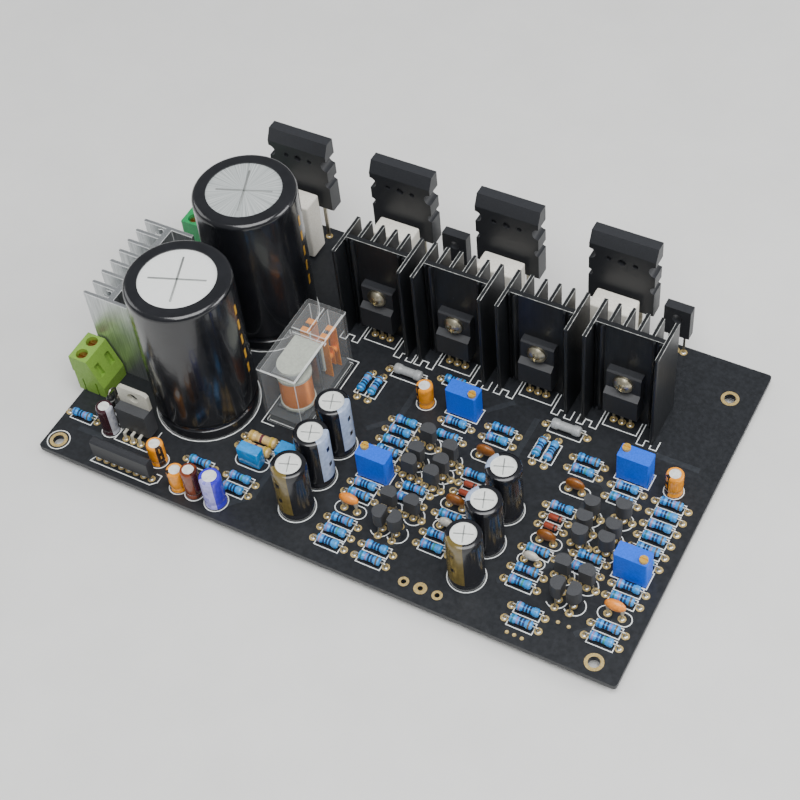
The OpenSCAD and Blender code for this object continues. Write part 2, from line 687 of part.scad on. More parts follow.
module driver_heatsink(i) color("#1b1c1e") on_board() at([sink_x[i], sink_y]) difference() {
    back = sink_plate_t + sink_fin_len;
    linear_extrude(sink_h) {
        translate([-sink_w / 2, 0]) square([sink_w, sink_plate_t]);
        for (s = [-1, 1]) translate([s * (sink_w - sink_fin_t) / 2, -sink_wing_len]) rotate([0, 0, 90])
            fin(sink_wing_len + back, sink_fin_t);
        for (f = [1:sink_fins]) translate([(f / (sink_fins + 1) - 0.5) * (sink_w - sink_fin_t), back])
            rotate([0, 0, -90]) fin(back - sink_plate_t / 2, sink_fin_t);
        for (s = [-1, 1]) translate([s * sink_channel_out, 0]) rotate([0, 0, 90])
            pin_channel(sink_channel_r);
    }
    translate([0, -cut, driver_screw_z]) rotate([-90, 0, 0])
        cylinder(d = screw_d + fit, h = sink_plate_t + 2 * cut);
}

// Side outline of a moulded transistor: its back at 0, thinner above the step
module driver_side() {
    bevel = 0.5;
    step_z = driver_h - driver_head_h;
    ramp = driver_t - driver_head_t;
    polygon([[0, 0], [bevel - driver_t, 0], [-driver_t, bevel], [-driver_t, step_z - ramp / 2],
        [-driver_head_t, step_z], [-driver_head_t, driver_h - bevel], [bevel - driver_head_t, driver_h],
        [0, driver_h]]);
}

module driver_transistor(i) color("#2b2c2e") on_board() at([sink_x[i], sink_y], driver_stand) difference() {
    rotate([90, 0, 90]) translate([0, 0, -driver_w / 2]) linear_extrude(driver_w) driver_side();
    translate([0, cut, driver_screw_z - driver_stand]) rotate([90, 0, 0])
        cylinder(d = screw_d + 2 * fit, h = driver_t + 2 * cut);
}

// Pan-head screw along +Z with its seat at the origin, cross-recessed
module pan_screw(len) {
    dome_r = screw_head_d * 0.62;
    recess = screw_head_d * 0.1;
    difference() {
        rotate_extrude() {
            intersection() {
                translate([0, screw_head_h - dome_r]) circle(dome_r);
                square([screw_head_d / 2, screw_head_h]);
            }
            translate([0, -len]) square([screw_d / 2, len + fit]);
        }
        for (a = [0, 90]) translate([0, 0, screw_head_h]) rotate([0, 0, a])
            cube([screw_head_d / 2, recess, screw_head_h * 0.7], center = true);
    }
}

module heatsink_screws() color("#d6d2c2") on_board() {
    for (x = sink_x) translate([x, sink_y - driver_head_t, driver_screw_z]) rotate([90, 0, 0])
        pan_screw(driver_head_t + sink_plate_t + screw_end);
    translate([supply_face_x + rectifier_t, supply_y, rectifier_screw_z]) rotate([0, 90, 0])
        pan_screw(rectifier_t + supply_web_t + screw_end);
}

// Output transistors, bias transistors and emitter resistors

// Distances below an output transistor's top and radii of the notches in its sides
output_notches = [[7.5, 2], [15, 1.3]];
// Sideways places and radii of the dimples in an output transistor's face
output_dimples = [[0, 1.1], [-4, 0.8], [4, 0.8]];
dimple_depth = 1;

module output_side() {
    bevel = 0.7;
    slope = output_t * 0.36;
    polygon([[0, 0], [bevel - output_t, 0], [-output_t, bevel], [-output_t, output_h - 2 * slope],
        [slope - output_t, output_h], [0, output_h]]);
}

module output_transistor(i) color("#26272a") on_board() at([output_x[i], output_y], output_stand)
    difference() {
        rotate([90, 0, 90]) translate([0, 0, -output_w / 2]) linear_extrude(output_w) output_side();
        for (s = [-1, 1], n = output_notches)
            translate([s * output_w / 2, cut, output_h - n[0]]) rotate([90, 0, 0])
                cylinder(r = n[1], h = output_t + 2 * cut);
        for (n = output_dimples)
            translate([n[0], dimple_depth - output_t, output_h - output_notches[0][0]]) rotate([90, 0, 0])
                cylinder(r = n[1], h = dimple_depth + cut);
    }

module bias_transistors() color("#2b2b2d") on_board() for (x = bias_x) at([x, output_y], bias_stand)
    difference() {
        translate([-bias_w / 2, -bias_t, 0]) cube([bias_w, bias_t, bias_h]);
        translate([0, cut, bias_h * 0.65]) rotate([90, 0, 0])
            cylinder(d = screw_d + 2 * fit, h = bias_t + 2 * cut);
    }

module emitter_resistors() color("#e9e7e0") on_board()
    for (x = output_x) at([x, emitter_y], emitter_stand)
        round_box(emitter_w, emitter_t, emitter_h, moulded_edge);

// Terminal blocks: a captive screw lifts a clamp against a fixed strip

term_wire_w = 3.8;
term_step = 0.5;
term_strip_w = 2.2;
term_slot = [1.2, 2, 4.4];
term_slope = atan((term_depth - term_top) / (term_h - term_back_h));
term_groove = [0.6, 0.4];

module terminal_side() {
    step_z = term_h * 0.58;
    polygon([[term_step, 0], [term_depth, 0], [term_depth, term_back_h], [term_top, term_h], [0, term_h],
        [0, step_z], [term_step, step_z - term_step]]);
}

// Well, cavity, wire entry, strip slot and probe slot of one pole
module terminal_pole() {
    cavity = term_clamp_side + 2 * fit;
    slot_w = term_strip_w + 4 * fit;
    translate([term_screw_x, 0, term_lip_top]) cylinder(r = term_head_r + fit, h = term_h);
    translate([term_screw_x, 0, term_rest_z]) cylinder(r = term_thread_r + fit, h = term_h);
    translate([term_screw_x - cavity / 2, -cavity / 2, term_rest_z - fit])
        cube([cavity, cavity, term_cavity_top - term_rest_z + fit]);
    translate([-cut, -term_wire_w / 2, term_rest_z + term_clamp_floor / 2])
        cube([term_screw_x + cut, term_wire_w, term_strip_z - term_rest_z]);
    translate([term_screw_x, -slot_w / 2, -cut])
        cube([term_pin_x + pin_r - term_screw_x + fit, slot_w, term_strip_z + term_strip_t + fit + cut]);
    translate([(term_depth + term_top) / 2, 0, (term_back_h + term_h) / 2]) rotate([0, -term_slope, 0])
        cube([2 * term_slot[0], term_slot[1], term_slot[2]], center = true);
}

module terminal_housing() difference() {
    translate([0, term_w / 2, 0]) rotate([90, 0, 0]) linear_extrude(term_w) terminal_side();
    for (i = [0:term_poles - 1]) translate([0, pole_y(i), 0]) terminal_pole();
    for (x = [0.25, 0.7]) translate([x * term_depth, -term_w / 2 - cut, -cut])
        cube([term_groove[0], term_groove[1] + cut, term_back_h + 2 * cut]);
}

module terminal_strip() {
    tip = term_screw_x - term_clamp_side / 2 + 2 * fit;
    end = term_pin_x + pin_r;
    translate([tip, -term_strip_w / 2, term_strip_z]) cube([end - tip, term_strip_w, term_strip_t]);
    translate([end - 2 * pin_r, -pin_r, 0]) cube([2 * pin_r, 2 * pin_r, term_strip_z + term_strip_t / 2]);
}

module terminal_block(i) on_board() at(term_places[i]) terminal_housing();

module supply_terminal() color("#86b04c") terminal_block(0);
module speaker_terminal() color("#1f9a5b") terminal_block(1);

// Screw and clamp k of the four poles
function pole_place(k) = term_places[floor(k / term_poles)] + [term_screw_x, pole_y(k % term_poles)];

module terminal_screw(k) color("#c98d4b") on_board() at(pole_place(k)) difference() {
    union() {
        translate([0, 0, term_tip_z]) cylinder(r = term_thread_r, h = term_head_z + fit - term_tip_z);
        translate([0, 0, term_head_z]) cylinder(r = term_head_r, h = term_head_h);
    }
    translate([0, 0, term_head_z + term_head_h])
        cube([term_head_r * 3, term_head_r * 0.35, term_head_h * 0.8], center = true);
}

module terminal_clamp(k) color("#d3d0c5") on_board() at(pole_place(k), term_rest_z) difference() {
    window_w = term_clamp_side * 0.7;
    translate([-term_clamp_side / 2, -term_clamp_side / 2, 0])
        cube([term_clamp_side, term_clamp_side, term_clamp_h]);
    translate([-term_clamp_side, -window_w / 2, term_clamp_floor])
        cube([term_clamp_side * 2, window_w, term_window_h]);
    translate([0, 0, term_clamp_floor + term_window_h / 2])
        cylinder(r = term_thread_r + run, h = term_clamp_h);
}

// Regulator with its bare tab, and the single-row chip

reg_hole_d = 3.7;
reg_corner = 1.2;

module regulator() color("#35363a") on_board() at(reg_place) {
    body_top = reg_stand + reg_body_h;
    lead_w = stout_lead * 0.75;
    difference() {
        translate([-reg_w / 2, -reg_tab_t, reg_stand]) cube([reg_w, reg_tab_t, reg_body_h + reg_tab_h]);
        translate([0, cut, body_top + reg_tab_h / 2]) rotate([90, 0, 0])
            cylinder(d = reg_hole_d, h = reg_tab_t + 2 * cut);
        for (s = [-1, 1]) translate([s * reg_w / 2, 0, body_top + reg_tab_h]) rotate([0, 45, 0])
            cube([reg_corner, 3 * reg_tab_t, reg_corner], center = true);
    }
    translate([-reg_w / 2, -reg_t, reg_stand]) cube([reg_w, reg_t - reg_tab_t, reg_body_h]);
    for (p = trio([0, reg_lead_y], small_lead_pitch)) at(p) {
        flat_lead(lead_w, reg_stand + lead_w);
        translate([-lead_w / 2, -lead_w / 4, reg_stand + lead_w / 2])
            cube([lead_w, reg_lead_reach + lead_w / 2, lead_w / 2]);
    }
}

module protection_chip() color("#232427") on_board() at(chip_place, chip_stand)
    rotate([90, 0, 90]) translate([0, 0, -chip_w / 2]) linear_extrude(chip_w)
        polygon([[chip_t / 2, 0], [chip_t / 2, chip_h - moulded_edge], [chip_t / 2 - moulded_edge, chip_h],
            [moulded_edge - chip_t / 2, chip_h], [-chip_t / 2, chip_h - moulded_edge], [-chip_t / 2, 0]]);

// Relay: the coil pulls the armature down, and its card pushes the moving contacts back

relay_in_w = relay_w - 2 * relay_wall;
relay_in_d = relay_d - 2 * relay_wall;
relay_roof = relay_h - relay_wall;
relay_yoke_w = 8;
relay_corner = 0.7;
relay_foot = 0.2;
relay_card_t = 0.8;
relay_finger_w = 1.1;
relay_finger_in = 0.5;
relay_blade_w = 3.6;
relay_blade_h = 7.4;
relay_partition_rise = 5;
relay_partition_z = relay_contact_z + relay_partition_rise;

module in_relay() {
    on_board() at(relay_place) children();
}

module relay_base() color("#4a4d50") in_relay() translate([0, 0, relay_foot])
    round_box(relay_in_w - 2 * fit, relay_in_d - 2 * fit, relay_base_top - relay_foot, relay_corner / 2);

module relay_cover() color("#b9c0c4", 0.4) in_relay() {
    rib_z = relay_arm_z + armature_t + relay_carrier_t + relay_rib_gap;
    rib_y = relay_card_y + relay_foot;
    partition_y = relay_card_y + relay_card_t + relay_rib_gap;
    difference() {
        round_box(relay_w, relay_d, relay_h, relay_corner);
        translate([0, 0, -cut]) linear_extrude(relay_roof + cut)
            square([relay_in_w, relay_in_d], center = true);
    }
    translate([-relay_in_w / 2, rib_y, rib_z]) cube([relay_in_w, relay_wall, relay_h - rib_z]);
    translate([-relay_wall / 2, partition_y, relay_partition_z])
        cube([relay_wall, relay_d / 2 - partition_y, relay_h - relay_partition_z]);
}

module relay_frame() color("#9a9ca0") in_relay() {
    translate([0, relay_coil_y, relay_base_top]) {
        cylinder(r = core_r, h = relay_pole_top - relay_base_top);
        translate([0, 0, relay_pole_top - relay_base_top - relay_pole_t])
            cylinder(r = core_r * 1.45, h = relay_pole_t);
    }
    translate([-relay_yoke_w / 2, relay_coil_y - coil_r, relay_base_top])
        cube([relay_yoke_w, relay_yoke_y + relay_yoke_t - relay_coil_y + coil_r, relay_yoke_t]);
    translate([-relay_yoke_w / 2, relay_yoke_y, relay_base_top])
        cube([relay_yoke_w, relay_yoke_t, relay_yoke_top - relay_base_top]);
}

module relay_bobbin() color("#cfd2c8") in_relay()
    translate([0, relay_coil_y, relay_coil_z - relay_bobbin_t - fit / 2]) {
        bore = core_r + fit / 2;
        flange = coil_r + relay_tube_t - bore;
        total = coil_h + 2 * relay_bobbin_t + fit;
        rotate_extrude() {
            translate([bore, 0]) square([relay_tube_t, total]);
            for (z = [0, total - relay_bobbin_t]) translate([bore, z]) square([flange, relay_bobbin_t]);
        }
    }

module relay_coil() color("#b8703c") in_relay() translate([0, relay_coil_y, relay_coil_z])
    rotate_extrude() translate([core_r + relay_tube_t + fit, 0])
        square([coil_r - core_r - relay_tube_t - fit, coil_h]);

module relay_armature() color("#8d9094") in_relay() rotate([90, 0, 90])
    translate([0, 0, -relay_yoke_w / 2]) linear_extrude(relay_yoke_w)
        polygon([[relay_coil_y - coil_r, relay_arm_z], [relay_arm_y, relay_arm_z],
            [relay_arm_y, relay_contact_z], [relay_card_y, relay_contact_z],
            [relay_card_y, relay_arm_z + armature_t], [relay_coil_y - coil_r, relay_arm_z + armature_t]]);

module relay_carrier() color("#c4c8bd") in_relay() {
    top = relay_arm_z + armature_t;
    half = relay_yoke_w * 0.55;
    card_z = relay_contact_z - relay_contact_r;
    translate([0, 0, top]) linear_extrude(relay_carrier_t) {
        translate([0, relay_coil_y]) circle(half);
        translate([-half, relay_coil_y]) square([2 * half, relay_card_y + relay_card_t - relay_coil_y]);
    }
    translate([-half, relay_card_y, card_z])
        cube([2 * half, relay_card_t, top + relay_carrier_t / 2 - card_z]);
    for (s = [0, 1]) mirror([s, 0, 0])
        translate([relay_finger_in, relay_card_y + relay_card_t / 2, relay_contact_z - relay_finger_w / 2])
            cube([relay_finger_w, relay_blade_y - relay_card_y - relay_card_t / 2, relay_finger_w]);
}

module relay_moving_contacts() color("#c9773f") in_relay() for (s = [0, 1]) mirror([s, 0, 0]) {
    translate([2 * relay_finger_in, relay_blade_y, relay_contact_z - relay_blade_h / 2])
        cube([relay_blade_w, relay_blade_t, relay_blade_h]);
    translate([relay_contact_x, relay_blade_y - relay_rivet_t, relay_contact_z]) rotate([-90, 0, 0])
        cylinder(r = relay_contact_r, h = relay_blade_t + 2 * relay_rivet_t);
}

// Fixed contact with its rivet's face at the origin, facing +Y: a strip from the base, bent over at the top
module fixed_contact() {
    strip = [relay_contact_r * 2.4, 0.4];
    tab = 1.8;
    back = -relay_contact_r - strip[1];
    top = relay_arm_z + armature_t;
    translate([-strip[0] / 2, back, relay_base_top]) cube([strip[0], strip[1], top - relay_base_top]);
    translate([-strip[0] / 2, back, top - strip[1]]) cube([strip[0], tab, strip[1]]);
    translate([0, back + strip[1] / 2, relay_contact_z]) rotate([-90, 0, 0])
        cylinder(r = relay_contact_r, h = relay_contact_r + strip[1] / 2);
}

module relay_fixed_contacts() color("#cf7f45") in_relay() for (s = [-1, 1]) {
    front_y = relay_blade_y - relay_rivet_t - run;
    back_y = relay_blade_y + relay_blade_t + relay_rivet_t + relay_stroke;
    translate([s * relay_contact_x, front_y, 0]) fixed_contact();
    translate([s * relay_contact_x, back_y, 0]) mirror([0, 1, 0]) fixed_contact();
}

// Trimmers

trimmer_screw_in = [1.6, 1.5];
trimmer_screw_at = [trimmer_screw_in[0] - trimmer_w / 2, trimmer_d / 2 - trimmer_screw_in[1]];
trimmer_bore = 3;
trimmer_foot = [1, 0.4];

module in_trimmer(k) {
    on_board() at(trimmer_place(trimmers[k])) rotate([0, 0, trimmers[k][3]]) children();
}

module trimmer_cases() color("#1f5fd0") for (k = [0:len(trimmers) - 1]) in_trimmer(k) difference() {
    round_box(trimmer_w, trimmer_d, trimmer_h, moulded_edge);
    at(trimmer_screw_at, trimmer_h - trimmer_bore)
        cylinder(r = trimmer_screw_r + run, h = trimmer_bore + cut);
    translate([0, 0, -cut]) linear_extrude(cut + trimmer_foot[1])
        square([trimmer_w - 2 * trimmer_foot[0], trimmer_d + 2 * cut], center = true);
}

module trimmer_screw(k) color("#cfa640") in_trimmer(k)
    at(trimmer_screw_at, trimmer_h - trimmer_bore + run) difference() {
        len = trimmer_bore - run + trimmer_screw_rise;
        cylinder(r = trimmer_screw_r, h = len);
        translate([0, 0, len])
            cube([trimmer_screw_r * 3, trimmer_screw_r * 0.4, trimmer_screw_rise], center = true);
    }

// Electrolytic capacitors of the channels and the small ones

channel_edge = 0.8;
channel_bead_z = 2.2;
channel_bead_r = 0.6;

module channel_capacitor_cans() color("#d2d4d3") on_board() for (c = channel_caps) at(c)
    can(channel_cap_d, channel_cap_h, channel_sleeve_t, channel_edge, channel_bead_z, channel_bead_r,
        channel_vent_d);

module channel_capacitor_sleeves() color("#1c1d21") on_board() for (c = channel_caps) at(c)
    sleeve(channel_cap_d, channel_cap_h, channel_sleeve_t, channel_edge, channel_bead_z, channel_bead_r,
        channel_vent_d);

// Small capacitor as one piece: a beaded can with a shallow recess in its top
module small_capacitor(d, h) rotate_extrude() difference() {
    bead_r = d * 0.1;
    can_half(d / 2, h, bead_r, d / 2 + bead_r / 2, 3 * bead_r, bead_r);
    translate([0, h - channel_sleeve_t]) square([d * 0.38, cut]);
}

module small_capacitors() color("#dd8f24") on_board() {
    for (c = small_caps) at(c) small_capacitor(small_cap_d, small_cap_h);
    for (c = tall_caps) at(c) small_capacitor(small_cap_d, tall_cap_h);
    at(violet_cap) small_capacitor(violet_cap_d, violet_cap_h);
}

// Film and dipped capacitors

module film_capacitors() color("#2f93d8") on_board() for (c = films_at) at(c)
    round_box(film_w, c[2], c[3], moulded_edge);

module dipped_capacitors() color("#b5702c") on_board() for (c = dipped_at) at(dipped_place(c), c[3])
    translate([0, c[6] / 2, c[5] / 2]) rotate([90, 0, 0]) round_box(c[4], c[5], c[6], c[5] * 0.42);

// Small transistors, resistors and diodes

module small_transistors() color("#3a3b3d") on_board() for (q = small_transistors_at)
    at(transistor_place(q), to92_stand) rotate([0, 0, q[3]]) linear_extrude(to92_h) difference() {
        circle(to92_r);
        translate([-to92_r - cut, -to92_r - cut]) square([2 * (to92_r + cut), to92_r * 0.42 + cut]);
    }

// Resistor body along X: end caps that bulge past a slimmer middle
module resistor_body(len, r) {
    cap = len * 0.28;
    neck = r * 0.82;
    translate([0, 0, r + fit]) rotate([0, 90, 0]) translate([0, 0, -len / 2]) rotate_extrude()
        polygon([[0, 0], [r * 0.6, 0], [r, cap * 0.3], [r, cap * 0.7], [neck, cap], [neck, len - cap],
            [r, len - cap * 0.7], [r, len - cap * 0.3], [r * 0.6, len], [0, len]]);
}

module signal_resistors() color("#5aa9d6") on_board() for (r = resistors) at(r) rotate([0, 0, r[2]])
    resistor_body(res_len, res_r);

// Grey power resistor along X: a barrel with tapered ends
module tapered_body(len, r) translate([0, 0, r + fit]) rotate([0, 90, 0]) translate([0, 0, -len / 2])
    rotate_extrude()
        polygon([[0, 0], [r * 0.45, 0], [r, len * 0.2], [r, len * 0.8], [r * 0.45, len], [0, len]]);

module power_resistors() color("#b7a583") on_board() {
    for (r = grey_resistors) at(r) tapered_body(power_len, power_r);
    for (r = tan_resistors) at(r) resistor_body(power_len, power_r);
}

module diodes() color("#a8442f") on_board() {
    for (d = diodes_at) at(d, diode_r + fit) rotate([0, 90, 0])
        cylinder(r = diode_r, h = diode_len, center = true);
    for (d = standing_diodes_at) at(d, standing_gap) cylinder(r = standing_r, h = standing_len);
}

circuit_board();
stout_pins();
soldered_ends();
component_leads();
smoothing_can(0);  // front_capacitor_can
smoothing_sleeve(0);  // front_capacitor_sleeve
smoothing_can(1);  // rear_capacitor_can
smoothing_sleeve(1);  // rear_capacitor_sleeve
supply_heatsink();
bridge_rectifier();
driver_heatsink(0);  // driver_heatsink_1
driver_heatsink(1);  // driver_heatsink_2
driver_heatsink(2);  // driver_heatsink_3
driver_heatsink(3);  // driver_heatsink_4
driver_transistor(0);  // driver_transistor_1
driver_transistor(1);  // driver_transistor_2
driver_transistor(2);  // driver_transistor_3
driver_transistor(3);  // driver_transistor_4
heatsink_screws();
output_transistor(0);  // output_transistor_1
output_transistor(1);  // output_transistor_2
output_transistor(2);  // output_transistor_3
output_transistor(3);  // output_transistor_4
bias_transistors();
emitter_resistors();
supply_terminal();
speaker_terminal();
terminal_screw(0);  // terminal_screw_1
terminal_screw(1);  // terminal_screw_2
terminal_screw(2);  // terminal_screw_3
terminal_screw(3);  // terminal_screw_4
terminal_clamp(0);  // terminal_clamp_1
terminal_clamp(1);  // terminal_clamp_2
terminal_clamp(2);  // terminal_clamp_3
terminal_clamp(3);  // terminal_clamp_4
regulator();
protection_chip();
relay_base();
relay_cover();
relay_frame();
relay_bobbin();
relay_coil();
relay_fixed_contacts();
relay_armature();
relay_carrier();
relay_moving_contacts();
trimmer_cases();
trimmer_screw(0);  // trimmer_screw_1
trimmer_screw(1);  // trimmer_screw_2
trimmer_screw(2);  // trimmer_screw_3
trimmer_screw(3);  // trimmer_screw_4
channel_capacitor_cans();
channel_capacitor_sleeves();
small_capacitors();
film_capacitors();
dipped_capacitors();
small_transistors();
signal_resistors();
power_resistors();
diodes();
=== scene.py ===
"""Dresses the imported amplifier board.

The solids get their finishes, and print, pads, colour bands, sleeves and worn edges are added on them.
"""

import logging
import math
from collections.abc import Callable, Sequence
from dataclasses import dataclass, field
from enum import Enum
from typing import ClassVar

import bmesh
import bpy
from mathutils import Matrix, Vector


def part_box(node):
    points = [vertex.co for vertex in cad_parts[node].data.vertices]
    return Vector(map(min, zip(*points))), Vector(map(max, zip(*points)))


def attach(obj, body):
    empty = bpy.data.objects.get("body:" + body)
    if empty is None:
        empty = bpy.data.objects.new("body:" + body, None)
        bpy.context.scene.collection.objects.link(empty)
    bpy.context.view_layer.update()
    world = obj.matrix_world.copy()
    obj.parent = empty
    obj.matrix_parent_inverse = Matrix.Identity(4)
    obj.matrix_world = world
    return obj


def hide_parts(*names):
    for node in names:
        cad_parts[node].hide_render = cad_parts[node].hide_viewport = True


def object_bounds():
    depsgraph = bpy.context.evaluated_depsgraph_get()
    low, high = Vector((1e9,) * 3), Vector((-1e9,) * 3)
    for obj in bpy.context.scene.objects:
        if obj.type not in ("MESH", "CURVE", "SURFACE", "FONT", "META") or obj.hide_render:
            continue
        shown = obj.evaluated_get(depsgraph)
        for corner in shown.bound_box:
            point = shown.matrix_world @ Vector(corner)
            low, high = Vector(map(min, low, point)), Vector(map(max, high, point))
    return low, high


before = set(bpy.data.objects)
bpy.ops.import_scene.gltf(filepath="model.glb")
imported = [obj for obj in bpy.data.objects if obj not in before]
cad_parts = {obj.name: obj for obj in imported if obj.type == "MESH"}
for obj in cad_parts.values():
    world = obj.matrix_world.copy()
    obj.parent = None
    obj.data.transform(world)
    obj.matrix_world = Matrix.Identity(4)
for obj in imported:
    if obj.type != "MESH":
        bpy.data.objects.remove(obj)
CAD_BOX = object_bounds()

LOG = logging.getLogger("amplifier_board")
MM = 0.001
BOARD = "board_assembly"
# Front left corner of the board's top face, in millimetres of the shared frame
CORNER = Vector((-88.2, -51.2, 1.6))
# Points nearer than this are one point, in metres
SAME_POINT = MM * 0.001
# Number of driver heatsinks, and of each other piece that is numbered
NUMBERED = 4

# Colour of a face from its height and radius in millimetres and its angle in degrees
Paint = Callable[[float, float, float], str]


def linear(colour: str) -> tuple[float, float, float, float]:
    """Turns an sRGB colour to linear light.

    Args:
        colour: Six hex digits after a hash.

    Returns:
        Linear red, green and blue, with an alpha of one.
    """
    parts = [int(colour[i:i + 2], 16) / 255 for i in (1, 3, 5)]
    return (*[c / 12.92 if c <= 0.04045 else ((c + 0.055) / 1.055) ** 2.4 for c in parts], 1.0)


def add_node(tree: bpy.types.NodeTree, kind: str, inputs: dict | None = None, **settings) -> bpy.types.Node:
    """Adds a shader node.

    Args:
        tree: The material's node tree.
        kind: The node's type name.
        inputs: Values or output sockets for its inputs, by name or index.
        settings: Properties of the node itself.

    Returns:
        The new node.
    """
    made = tree.nodes.new(kind)
    for key, value in settings.items():
        setattr(made, key, value)
    for key, value in (inputs or {}).items():
        if isinstance(value, bpy.types.NodeSocket):
            tree.links.new(value, made.inputs[key])
        else:
            made.inputs[key].default_value = value
    return made


class Grain(Enum):
    """How the pattern of a finish runs over the surface."""

    EVEN = (1.0, 1.0, 1.0)
    ALONG_Z = (1.0, 1.0, 0.04)
    RADIAL = (0.0, 0.0, 0.0)


@dataclass(frozen=True)
class Finish:
    """A surface finish: a colour broken up by a second one, with gloss and relief from the same grain."""

    name: str
    colour: str
    tint: str
    roughness: float
    grain_mm: float
    metallic: float = 0.0
    grain: Grain = Grain.EVEN
    relief: float = 0.1
    coat: float = 0.0
    alpha: float = 1.0
    ior: float = 1.5
    painted: bool = False
    centre_mm: tuple[float, float] = (0.0, 0.0)
    scuff: str = ""

    # Share of the roughness at the smooth and at the rough end of the grain
    gloss_spread: ClassVar[tuple[float, float]] = (0.75, 1.3)
    # Depth of the relief as a share of the grain's size
    relief_depth: ClassVar[float] = 0.2
    # Part of the noise over which the first colour turns to the second
    colour_range: ClassVar[tuple[float, float]] = (0.35, 0.7)
    coat_roughness: ClassVar[float] = 0.06
    # Noise scale of a radial grain of one millimetre
    radial_scale: ClassVar[float] = 60.0
    # Size of a scuff, and the part of the noise that shows as one
    scuff_mm: ClassVar[float] = 2.381
    scuff_range: ClassVar[tuple[float, float]] = (0.67, 0.78)

    def material(self) -> bpy.types.Material:
        """Builds the material once and returns it."""
        found = bpy.data.materials.get(self.name)
        if found:
            return found
        made = bpy.data.materials.new(self.name)
        made.use_nodes = True
        tree = made.node_tree
        shader = tree.nodes["Principled BSDF"]
        noise = self.grain_pattern(tree)
        tree.links.new(self.base_colour(tree, noise), shader.inputs["Base Color"])
        smooth, rough = (self.roughness * share for share in self.gloss_spread)
        gloss = add_node(tree, "ShaderNodeMapRange", {
            "Value": noise, "To Min": smooth, "To Max": min(1.0, rough)})
        tree.links.new(gloss.outputs["Result"], shader.inputs["Roughness"])
        bump = add_node(tree, "ShaderNodeBump", {
            "Strength": self.relief, "Distance": self.grain_mm * MM * self.relief_depth, "Height": noise})
        tree.links.new(bump.outputs["Normal"], shader.inputs["Normal"])
        shader.inputs["Metallic"].default_value = self.metallic
        shader.inputs["Coat Weight"].default_value = self.coat
        shader.inputs["Coat Roughness"].default_value = self.coat_roughness
        shader.inputs["Alpha"].default_value = self.alpha
        if not self.metallic:
            shader.inputs["IOR"].default_value = self.ior
        return made

    def grain_pattern(self, tree: bpy.types.NodeTree) -> bpy.types.NodeSocket:
        """Adds the noise that breaks up the surface.

        Args:
            tree: The material's node tree.

        Returns:
            The noise value from 0 to 1.
        """
        place = add_node(tree, "ShaderNodeTexCoord").outputs["Object"]
        if self.grain is Grain.RADIAL:
            x, y = self.centre_mm
            moved = add_node(tree, "ShaderNodeMapping", {
                "Vector": place, "Location": (-x * MM, -y * MM, 0), "Scale": (1, 1, 0)})
            place = add_node(tree, "ShaderNodeVectorMath", {0: moved.outputs["Vector"]},
                             operation="NORMALIZE").outputs["Vector"]
            scale = self.radial_scale / self.grain_mm
        else:
            place = add_node(tree, "ShaderNodeMapping", {
                "Vector": place, "Scale": self.grain.value}).outputs["Vector"]
            scale = 1.0 / (self.grain_mm * MM)
        return add_node(tree, "ShaderNodeTexNoise", {
            "Vector": place, "Scale": scale, "Detail": 4.0, "Roughness": 0.6}).outputs["Fac"]

    def base_colour(self, tree: bpy.types.NodeTree, noise: bpy.types.NodeSocket) -> bpy.types.NodeSocket:
        """Adds the colour of the surface.

        Args:
            tree: The material's node tree.
            noise: The grain that mixes the two colours.

        Returns:
            The colour socket.
        """
        low, high = self.colour_range
        spread = add_node(tree, "ShaderNodeMapRange", {
            "Value": noise, "From Min": low, "From Max": high}).outputs["Result"]
        if self.painted:
            paint = add_node(tree, "ShaderNodeAttribute", attribute_name="paint").outputs["Color"]
            return add_node(tree, "ShaderNodeMix", {0: spread, 6: paint, 7: linear(self.tint)},
                            data_type="RGBA", blend_type="MULTIPLY").outputs[2]
        plain_colour = add_node(tree, "ShaderNodeMix", {
            0: spread, 6: linear(self.colour), 7: linear(self.tint)}, data_type="RGBA").outputs[2]
        if not self.scuff:
            return plain_colour
        place = add_node(tree, "ShaderNodeTexCoord").outputs["Object"]
        marks = add_node(tree, "ShaderNodeTexNoise", {
            "Vector": place, "Scale": 1.0 / (self.scuff_mm * MM), "Detail": 5.0, "Roughness": 0.7,
            "Distortion": 1.5}).outputs["Fac"]
        low, high = self.scuff_range
        worn = add_node(tree, "ShaderNodeMapRange", {
            "Value": marks, "From Min": low, "From Max": high}).outputs["Result"]
        return add_node(tree, "ShaderNodeMix", {0: worn, 6: plain_colour, 7: linear(self.scuff)},
                        data_type="RGBA").outputs[2]


